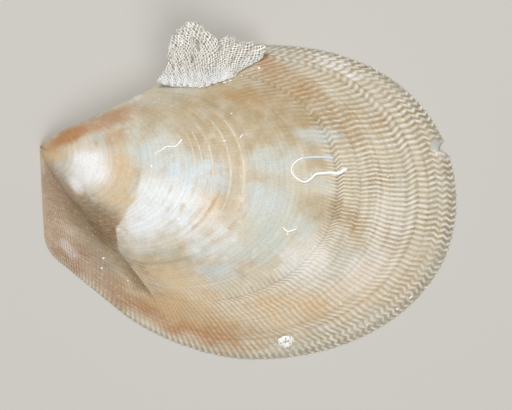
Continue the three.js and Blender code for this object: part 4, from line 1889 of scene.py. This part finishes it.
@dataclass(frozen=True)
class WornCalcite:
    """The outer face of the valve, in calcite that grew in thin layers and that the sea has worn.

    The eye sees a pale satin skin where it is rubbed smooth, stains that have sunk into it, and ribs whose
    crests are painted whiter, as chalky wear and as broken highlights, and whose grooves are painted darker,
    as shade. Strengths follow patterns, as a Wash or a Shade says, and each cloud or fleck also has the size
    of its lumps in millimetres and how far its pattern is moved.
    """

    cream: str = "#dcd6c6"
    tan: str = "#c8b898"
    clouds: tuple[tuple[Wash, float, float], ...] = (
        (Wash("#c3c9c2", 0.5, 0.62, 0.6), 7.0, 11.0),
        (Wash("#bd9d76", 0.53, 0.68, 0.55), 5.0, 23.0),
        (Wash("#f4efe5", 0.56, 0.7, 0.5), 3.6, 37.0),
    )
    blotched: Pair = (0.42, 0.6)
    edge_width: Pair = (-0.002, 0.005)
    streak: Wash = Wash("#c2a376", 0.46, 0.66)
    streak_mm: float = 2.03
    streak_sway: float = 0.03
    streak_gaps: Trio = (0.4, 0.62, 0.1)
    arc: Wash = Wash("#ece2cb", 0.0, 1.0)
    arcs: tuple[float, ...] = (0.392, 0.425, 0.44, 0.4625, 0.5, 0.5275)
    line: Shade = Shade(0.35, 0.68, 0.94, 1.03)
    line_mm: float = 1.15
    grain: Shade = Shade(0.3, 0.7, 0.91, 1.08)
    band: Shade = Shade(0.36, 0.62, 0.9, 1.07)
    band_mm: float = 2.75
    smudge: Shade = Shade(0.36, 0.62, 0.72, 1.12)
    smudge_mm: float = 1.4
    smudges_per_rib: float = 0.3
    flecks: tuple[tuple[Wash, float, float], ...] = (
        (Wash("#f4efe5", 0.15, 0.42, 0.0, 0.42), 0.8, 3.0),
        (Wash("#a08a6a", 0.15, 0.42, 0.0, 0.7), 1.1, 9.0),
    )
    fleck_shares: Pair = (0.66, 0.97)
    margin: Wash = Wash("#8f897b", 0.962, 0.988, 0.5)
    rim: Pair = (0.968, 0.99)
    crumbled: Trio = (0.44, 0.56, -0.8)
    # Painted highlight on the crests, broken by the chalky scales, and painted shade in the grooves, over the
    # ribs' real relief
    crest: Wash = Wash("#f4efe5", 0.0, 1.0, 0.78)
    groove: Wash = Wash("#c9b79a", 0.0, -1.5, 0.99, blend="MULTIPLY")
    halt: Wash = Wash("#c9b79a", 0.0, 1.5, 0.45, blend="MULTIPLY")
    halts: tuple[float, ...] = (0.7275, 0.757, 0.777, 0.812, 0.843, 0.883, 0.907, 0.933, 0.955)
    tip: Wash = Wash("#f4efe5", 0.0, 1.0)
    dusty_ribs: float = 0.35
    lamella_mm: float = 0.3
    lamella_sway: float = 0.012
    lamella_relief: float = 0.9
    line_relief: float = 0.18
    bump: Pair = (0.4, 0.12)
    roughness: tuple[float, float, float, float] = (0.3, 0.7, 0.4, 0.62)
    sheen: float = 0.26

    def material(self) -> bpy.types.Material:
        """Make the material.

        Returns:
            The material, named worn_calcite.
        """
        material, shader = new_material("worn_calcite")
        grown = CalcitePatterns(material.node_tree)
        lines = grown.bands(self.line_mm, 4.0)
        low, high, least, most = self.roughness
        feed(shader, {
            "Base Color": self._ribbed(grown, self._marked(grown, self._stained(grown), lines)),
            "Normal": self._relief(grown, lines),
            "Roughness": grown.add("MapRange", {0: grown.mottle, 1: low, 2: high, 3: least, 4: most}),
            "IOR": LIME_IOR,
            "Specular IOR Level": self.sheen,
        })
        return material

    def _stained(self, grown: CalcitePatterns) -> Socket:
        """Cloud the bare calcite and lay the pigments on it.

        Args:
            grown: The shared patterns.

        Returns:
            The stained colour.
        """
        add = grown.add
        colour = add("Mix", {0: grown.broad, 6: linear(self.cream), 7: linear(self.tan)}, 2, data_type="RGBA")
        ribless = add("Math", {0: 1.0, 1: grown.ribbing}, operation="SUBTRACT")
        for wash, size_mm, moved in self.clouds:
            colour = wash.over(colour, grown.lumps(size_mm, 6.0, moved), ribless)
        low, high = self.blotched
        before, beyond = self.edge_width
        past = grown.mask("beyond_edge")
        for pigment in Pigment:
            tint, mask = pigment.value, grown.mask(pigment.name.lower())
            side = add("MapRange", {0: past, 1: before, 2: beyond, 3: tint.before_edge, 4: tint.beyond_edge})
            broken = add("MapRange", {0: grown.blotches, 1: low, 2: high, 3: tint.between, 4: tint.within})
            share = add("Math", {0: mask, 1: broken}, operation="MULTIPLY", use_clamp=True)
            share = add("Math", {0: share, 1: side}, operation="MULTIPLY")
            colour = add("Mix", {0: share, 6: colour, 7: linear(tint.code)}, 2, data_type="RGBA")
        return colour

    def _marked(self, grown: CalcitePatterns, colour: Socket, lines: Socket) -> Socket:
        """Mark brown streaks, pale arcs of old rims, growth lines, grit, broad bands, smudges and flecks.

        Args:
            grown: The shared patterns.
            colour: The colour under them.
            lines: The growth lines.

        Returns:
            The marked colour.
        """
        add = grown.add
        low, high, left = self.streak_gaps
        streaks = grown.bands(self.streak_mm, 2.0, grown.broad, self.streak_sway)
        gaps = add("MapRange", {0: grown.blotches, 1: low, 2: high, 3: left, 4: 1.0})
        where = add("Math", {0: gaps, 1: grown.mask("streaks")}, operation="MULTIPLY")
        colour = self.streak.over(colour, streaks, where)
        colour = self.arc.over(colour, grown.rims(self.arcs, grown.mask("arcs"), grown.mottle))
        colour = self.line.over(colour, lines)
        colour = self.grain.over(colour, grown.grit)
        colour = self.band.over(colour, grown.bands(self.band_mm, 1.0), grown.ribbing)
        smudges = grown.scales(self.smudges_per_rib, self.smudge_mm, 4.0)
        colour = self.smudge.over(colour, smudges, grown.dust_and_shade)
        low, high = self.fleck_shares
        for wash, size_mm, moved in self.flecks:
            place = add("VectorMath", {0: grown.place, 1: (moved, 0.0, 0.0)}, operation="ADD")
            cells = {"Vector": place, "Scale": per_mm(size_mm)}
            far, lot = add("TexVoronoi", cells, "Distance"), add("TexVoronoi", cells, "Color")
            chosen = add("MapRange", {0: add("SeparateXYZ", {0: lot}), 1: low, 2: high})
            where = add("Math", {0: chosen, 1: grown.dust_and_shade}, operation="MULTIPLY")
            colour = wash.over(colour, far, where)
        return colour

    def _ribbed(self, grown: CalcitePatterns, colour: Socket) -> Socket:
        """Whiten the crests, darken the grooves and the halts, and break the ribs' ends into grains.

        Args:
            grown: The shared patterns.
            colour: The colour under them.

        Returns:
            The ribbed colour.
        """
        add = grown.add
        start, end = self.rim
        low, high, least = self.crumbled
        crest = add("Math", {0: grown.wave, 1: grown.ribbing}, operation="MULTIPLY")
        rim = add("MapRange", {0: grown.stage, 1: start, 2: end})
        crumbled = add("MapRange", {0: grown.grit, 1: low, 2: high, 3: least, 4: 0.0})
        kept = add("Math", {0: rim, 1: crumbled, 2: 1.0}, operation="MULTIPLY_ADD")
        light = add("Math", {0: crest, 1: grown.chalky}, operation="MULTIPLY", use_clamp=True)
        light = add("Math", {0: light, 1: kept}, operation="MULTIPLY")
        tip = add("Math", {0: light, 1: rim}, operation="MULTIPLY", use_clamp=True)
        faint = add("MapRange", {0: grown.dust_and_shade, 3: 1.0, 4: self.dusty_ribs})
        colour = self.margin.over(colour, grown.stage)
        # Painted highlight on the crests and painted shade in the grooves
        colour = self.crest.over(colour, light, faint)
        colour = self.groove.over(colour, crest, faint)
        colour = self.halt.over(colour, grown.rims(self.halts, grown.ribbing, grown.mottle))
        return self.tip.over(colour, tip)

    def _relief(self, grown: CalcitePatterns, lines: Socket) -> Socket:
        """Raise grit, chalky crests, growth lines and fine lamellae.

        Args:
            grown: The shared patterns.
            lines: The growth lines.

        Returns:
            The surface's way out.
        """
        add = grown.add
        strength, depth_mm = self.bump
        inputs = {0: lines, 1: self.line.low, 2: self.line.high, 3: 0.0, 4: self.line_relief}
        raised = add("MapRange", inputs)
        lamellae = grown.bands(self.lamella_mm, 2.0, grown.mottle, self.lamella_sway)
        height = add("Math", {0: grown.chalky, 1: grown.ribbing, 2: grown.grit}, operation="MULTIPLY_ADD")
        height = add("Math", {0: lamellae, 1: self.lamella_relief, 2: height}, operation="MULTIPLY_ADD")
        height = add("Math", {0: height, 1: raised}, operation="ADD")
        return add("Bump", {"Height": height, "Strength": strength, "Distance": depth_mm * MM})


@dataclass(frozen=True)
class Porcelain:
    """The inner face of the valve, in aragonite laid down smooth against the living animal.

    It is dense and glossy like glazed porcelain, so the eye sees soft reflections, faint rings and rays, a
    paler scar where the muscle held, and the brown that the ligament left in its pit.
    """

    glaze: str = "#e6dfd1"
    cloud: Wash = Wash("#d2c2a4", 0.42, 0.75)
    cloud_mm: float = 22.0
    scar_edge: Wash = Wash("#c4b08c", 0.2, 0.5, 0.3)
    scar: Wash = Wash("#f7f4ee", 0.38, 0.62, 0.5)
    ligament: Wash = Wash("#6f5337", 0.15, 0.6, 0.85)
    ring: Shade = Shade(0.3, 0.7, 0.93, 1.03)
    ring_mm: float = 2.1
    rays: Trio = (0.8, 0.98, 0.5)
    scar_relief: float = 0.5
    bump: Pair = (0.35, 0.2)
    roughness: float = 0.28
    sheen: float = 0.38

    def material(self) -> bpy.types.Material:
        """Make the material.

        Returns:
            The material, named inner_porcelain.
        """
        material, shader = new_material("inner_porcelain")
        grown = GrowthPatterns(material.node_tree)
        add = grown.add
        scar = grown.mask("scar")
        rings = grown.bands(self.ring_mm, 2.0)
        colour = self.cloud.over(linear(self.glaze), grown.lumps(self.cloud_mm, 5.0))
        colour = self.scar_edge.over(colour, scar)
        colour = self.scar.over(colour, scar)
        colour = self.ligament.over(colour, grown.mask("ligament"))
        start, end, deep = self.rays
        by_rim = add("MapRange", {0: grown.stage, 1: start, 2: end, 3: 0.0, 4: deep})
        height = add("Math", {0: grown.wave, 1: by_rim, 2: rings}, operation="MULTIPLY_ADD")
        height = add("Math", {0: scar, 1: self.scar_relief, 2: height}, operation="MULTIPLY_ADD")
        strength, depth_mm = self.bump
        feed(shader, {
            "Base Color": self.ring.over(colour, rings),
            "Normal": add("Bump", {"Height": height, "Strength": strength, "Distance": depth_mm * MM}),
            "Roughness": self.roughness,
            "IOR": LIME_IOR,
            "Specular IOR Level": self.sheen,
        })
        return material


@dataclass(frozen=True)
class Chalk:
    """The skeletons and tubes of small sea animals, in calcite that they grew as a fine sponge.

    The eye sees a dull white without reflections, a little darker in its pores. Most real pores are under a
    tenth of a millimetre, so they are drawn larger, to show.
    """

    name: str
    light: str
    shade: str
    pore_mm: float = 0.35
    pore_edge: Pair = (0.1, 0.45)
    bump: Pair = (0.4, 0.08)
    roughness: float = 0.75
    sheen: float = 0.38

    def material(self) -> bpy.types.Material:
        """Make the material.

        Returns:
            The material, named as the finish says.
        """
        material, shader = new_material(self.name)
        add = partial(add_node, material.node_tree)
        place = add("TexCoord", out="Object")
        low, high = self.pore_edge
        strength, depth_mm = self.bump
        cells = add("TexVoronoi", {"Vector": place, "Scale": per_mm(self.pore_mm)}, "Distance")
        pores = add("MapRange", {0: cells, 1: low, 2: high})
        colour = add("Mix", {0: pores, 6: linear(self.shade), 7: linear(self.light)}, 2, data_type="RGBA")
        feed(shader, {
            "Base Color": self.toned_by_place(colour, place),
            "Normal": add("Bump", {"Height": pores, "Strength": strength, "Distance": depth_mm * MM}),
            "Roughness": self.roughness,
            "IOR": LIME_IOR,
            "Specular IOR Level": self.sheen,
        })
        return material

    def toned_by_place(self, colour: Socket, place: Socket) -> Socket:
        """Leave the chalk as clean as it grew, at every place."""
        return colour


@dataclass(frozen=True)
class LaceLime(Chalk):
    """The lace colony's chalk, bluish in the crust at the foot, with painted shade that darkens the layers
    behind.
    """

    crust: Wash = Wash("#eef1f3", 0.3, 1.0, 0.8)
    # Painted shade on the layers behind, the deepest darkest, broken up by a noise
    behind: Wash = Wash("#a99e8b", 0.1, 0.5)
    shade_noise_mm: float = 2.5

    def toned_by_place(self, colour: Socket, place: Socket) -> Socket:
        """Colour the threads by where they are in the frond: bluish in the crust, with painted shade behind.

        Args:
            colour: The colour of clean chalk.
            place: Places in metres.

        Returns:
            The colour of the lace.
        """
        add = partial(add_node, place.id_data)
        crusted, depth = (add("Attribute", out="Fac", attribute_name=name) for name in ("crusted", "depth"))
        shade_noise = add("TexNoise", {"Vector": place, "Scale": per_mm(self.shade_noise_mm), "Detail": 3.0})
        dust_and_shade = add("Math", {0: shade_noise, 1: depth}, operation="MULTIPLY")
        return self.behind.over(self.crust.over(colour, crusted), dust_and_shade)


# The studio


@dataclass(frozen=True)
class Lamp:
    """A square soft light that faces the frame's middle: its place and width in metres, and its watts."""

    name: str
    place: Trio
    size: float
    power: float

    def build(self) -> None:
        """Hang the lamp."""
        data = bpy.data.lights.new(self.name, "AREA")
        data.size = self.size
        data.energy = self.power
        light = bpy.data.objects.new(self.name, data)
        light.location = self.place
        light.rotation_euler = (-Vector(self.place)).to_track_quat("-Z", "Y").to_euler()
        bpy.context.scene.collection.objects.link(light)


@dataclass(frozen=True)
class Studio:
    """A plain pale floor, soft light from the front edge's side, and a camera straight above, in metres.

    The floor is matt painted board, which gives the eye an even tone without reflections.
    """

    floor_colour: str = "#c3c0ba"
    floor_size: float = 6.0
    floor_gap: float = 0.0001
    floor_roughness: float = 0.9
    lamps: tuple[Lamp, ...] = (
        Lamp("key", (-0.14, 0.48, 1.15), 0.35, 8.8),
        Lamp("fill", (0.25, -0.5, 1.25), 0.9, 8.4),
    )
    sky_colour: str = "#ffffff"
    sky_strength: float = 0.25
    camera_height: float = 1.2
    camera_reach: float = 20.0
    sensor_mm: float = 36.0
    view_width_mm: float = 153.6
    view_middle: Pair = (64.8, -17.4)

    def build(self) -> None:
        """Make the floor, the lights and the camera."""
        deselect()
        bpy.ops.mesh.primitive_plane_add(size=self.floor_size, location=(0, 0, -self.floor_gap))
        floor = bpy.context.object
        floor.name = "floor"
        material, shader = new_material("floor")
        feed(shader, {"Base Color": linear(self.floor_colour), "Roughness": self.floor_roughness})
        floor.data.materials.append(material)
        for lamp in self.lamps:
            lamp.build()
        world = bpy.data.worlds.new("studio")
        world.use_nodes = True
        sky = world.node_tree.nodes["Background"]
        feed(sky, {"Color": linear(self.sky_colour), "Strength": self.sky_strength})
        bpy.context.scene.world = world
        bpy.context.scene.view_settings.view_transform = "Standard"
        data = bpy.data.cameras.new("camera")
        data.sensor_width = self.sensor_mm
        data.lens = self.sensor_mm * self.camera_height / (self.view_width_mm * MM)
        data.clip_end = self.camera_reach
        camera = bpy.data.objects.new("camera", data)
        x, y, _ = to_frame(np.array([*self.view_middle, 0.0]))
        camera.location = (x, y, self.camera_height)
        bpy.context.scene.collection.objects.link(camera)
        bpy.context.scene.camera = camera


FRONDS = (
    LaceFrond(
        "lace_tall",
        "lace_colony_tall_frond",
        outline=(
            (35.5, 19.0), (40.1, 17.9), (45.6, 17.6), (49.8, 17.5), (52.1, 18.6), (54.2, 19.4),
            (54.2, 27.0), (53.9, 30.4), (53.3, 31.0), (52.2, 32.6), (49.9, 33.6), (49.4, 34.8), (47.8, 35.7),
            (46.6, 36.2), (44.4, 35.9), (42.0, 34.2), (39.9, 31.4), (39.1, 28.5), (38.8, 26.8), (39.1, 25.0),
            (38.2, 22.6),
        ),
        middle=(46.0, 25.0),
        holes=(
            (47.7, 29.7, 0.75), (47.9, 28.6, 0.6), (46.1, 25.3, 0.65), (46.0, 26.4, 0.6), (52.3, 30.9, 0.55),
            (54.2, 28.6, 0.5), (51.0, 31.3, 0.5), (39.6, 26.1, 0.6), (40.2, 23.4, 0.7), (43.2, 32.7, 0.55),
        ),
        fan_from=(46.0, 1.0),
        crust_height=6.5,
    ),
    LaceFrond(
        "lace_low",
        "lace_colony_low_frond",
        outline=(
            (51.8, 18.7), (57.8, 20.3), (59.4, 22.1), (61.2, 23.5), (63.8, 24.5), (66.3, 26.3),
            (67.5, 28.0), (68.0, 29.8), (66.9, 30.4), (65.6, 29.7), (64.7, 30.4), (62.6, 30.8), (59.1, 30.8),
            (58.2, 31.8), (57.3, 32.9), (56.4, 32.0), (55.0, 32.5), (53.9, 31.2), (53.3, 29.4), (52.4, 26.6),
            (51.4, 23.0),
        ),
        middle=(58.0, 26.0),
        holes=((57.2, 30.9, 0.6), (54.3, 28.7, 0.5), (54.7, 30.0, 0.5)),
        fan_from=(46.0, 8.0),
        crust_height=4.0,
        seam_rise=1.3,
    ),
)

TUBES = (
    WormTube(
        "large_tube",
        (
            (78.4, -3.6), (76.9, -4.3), (75.7, -5.5), (75.2, -6.9), (75.6, -8.3), (76.8, -9.6), (78.8, -10.6),
            (80.2, -10.2), (81.4, -9.2), (82.6, -8.2), (84.9, -8.0), (87.0, -8.0), (88.8, -8.3), (90.2, -7.6),
            (91.3, -6.4),
        ),
        (0.3, 0.26, 0.24, 0.24, 0.27, 0.3, 0.33, 0.35, 0.38, 0.42, 0.46, 0.5, 0.52, 0.56, 0.6),
        nodes=("worm_tube_large",),
        open_mouth=True,
    ),
    WormTube(
        "small_tube",
        ((43.05, 1.9), (41.2, -0.1), (38.5, -0.2), (37.1, -1.2), (34.8, -2.3)),
        (0.3, 0.26, 0.24, 0.2, 0.12),
        nodes=("worm_tube_small",),
        open_mouth=True,
    ),
    WormTube(
        "tube_crumb",
        ((72.6, -23.9), (73.3, -24.6), (74.2, -25.1), (75.4, -24.9), (76.8, -24.4)),
        (0.22, 0.28, 0.3, 0.26, 0.2),
        nodes=("worm_tube_crumb",),
    ),
    WormTube(
        "tube_trace",
        ((87.6, -3.5), (84.5, -3.2), (81.0, -3.3), (78.4, -3.6)),
        (0.34, 0.42, 0.42, 0.3),
        worn=True,
        sunk=0.85,
    ),
    WormTube("crumb_stem", ((74.2, -25.1), (74.1, -25.8), (74.0, -26.4)), (0.26, 0.22, 0.16)),
)

GRAINS = (
    (65.7, 23.4, 1.0, 0.8, 20), (33.9, -6.0, 0.7, 0.6, 0), (19.2, -33.3, 0.9, 0.6, 30),
    (18.6, -36.3, 0.7, 0.6, 60), (55.5, 1.5, 0.8, 0.5, 0), (57.6, 9.6, 0.6, 0.4, 40),
    (98.0, -53.4, 1.6, 0.5, 60), (107.1, -48.6, 0.8, 0.6, 0), (111.0, -45.2, 1.9, 0.5, 35),
    (60.5, 2.9, 1.6, 0.4, 50), (53.0, 18.7, 0.8, 0.4, 20), (55.4, 19.0, 1.1, 0.4, -15),
    (57.2, 19.5, 0.7, 0.4, 10), (60.6, 21.0, 0.5, 0.4, 0), (104.0, -9.0, 0.5, 0.4, 0),
    (70.0, -52.0, 0.5, 0.4, 0), (90.0, -47.0, 0.6, 0.4, 30), (26.5, -40.0, 0.5, 0.4, 0),
)


def main() -> None:
    """Build the studio and every piece, in order."""
    logging.basicConfig(level=logging.INFO, format="%(name)s %(message)s")
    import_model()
    Studio().build()
    shell = Valve()
    valve = shell.build()
    Weathering(STAINS).paint(valve)
    shell.dress(valve, WornCalcite().material(), Porcelain().material())
    settle(valve, valve.data.materials[0], "shell", "valve")
    ground = Ground(valve, shell.form.middle)
    lace = LaceLime("lace_lime", "#fbf9f3", "#e4dfd4").material()
    for frond in FRONDS:
        sheet = Ground(bpy.data.objects[frond.node], frond.middle)
        settle(frond.build(sheet), lace, "lace", frond.node)
    tube_lime = Chalk("tube_lime", "#fdfcf9", "#efebe2", 0.25).material()
    worn_lime = Chalk("worn_tube_lime", "#d9e4ea", "#c2cdd0", 0.25).material()
    for tube in TUBES:
        settle(tube.build(ground), worn_lime if tube.worn else tube_lime, "worm_tube", *tube.nodes)
    button_lime = Chalk("button_lime", "#f6f4ee", "#8d8677", 0.7).material()
    settle(ButtonColony().build(ground), button_lime, "button", "button_colony")
    settle(Grains(GRAINS).build(ground), tube_lime, "worm_tube")


if __name__ == "__main__":
    main()
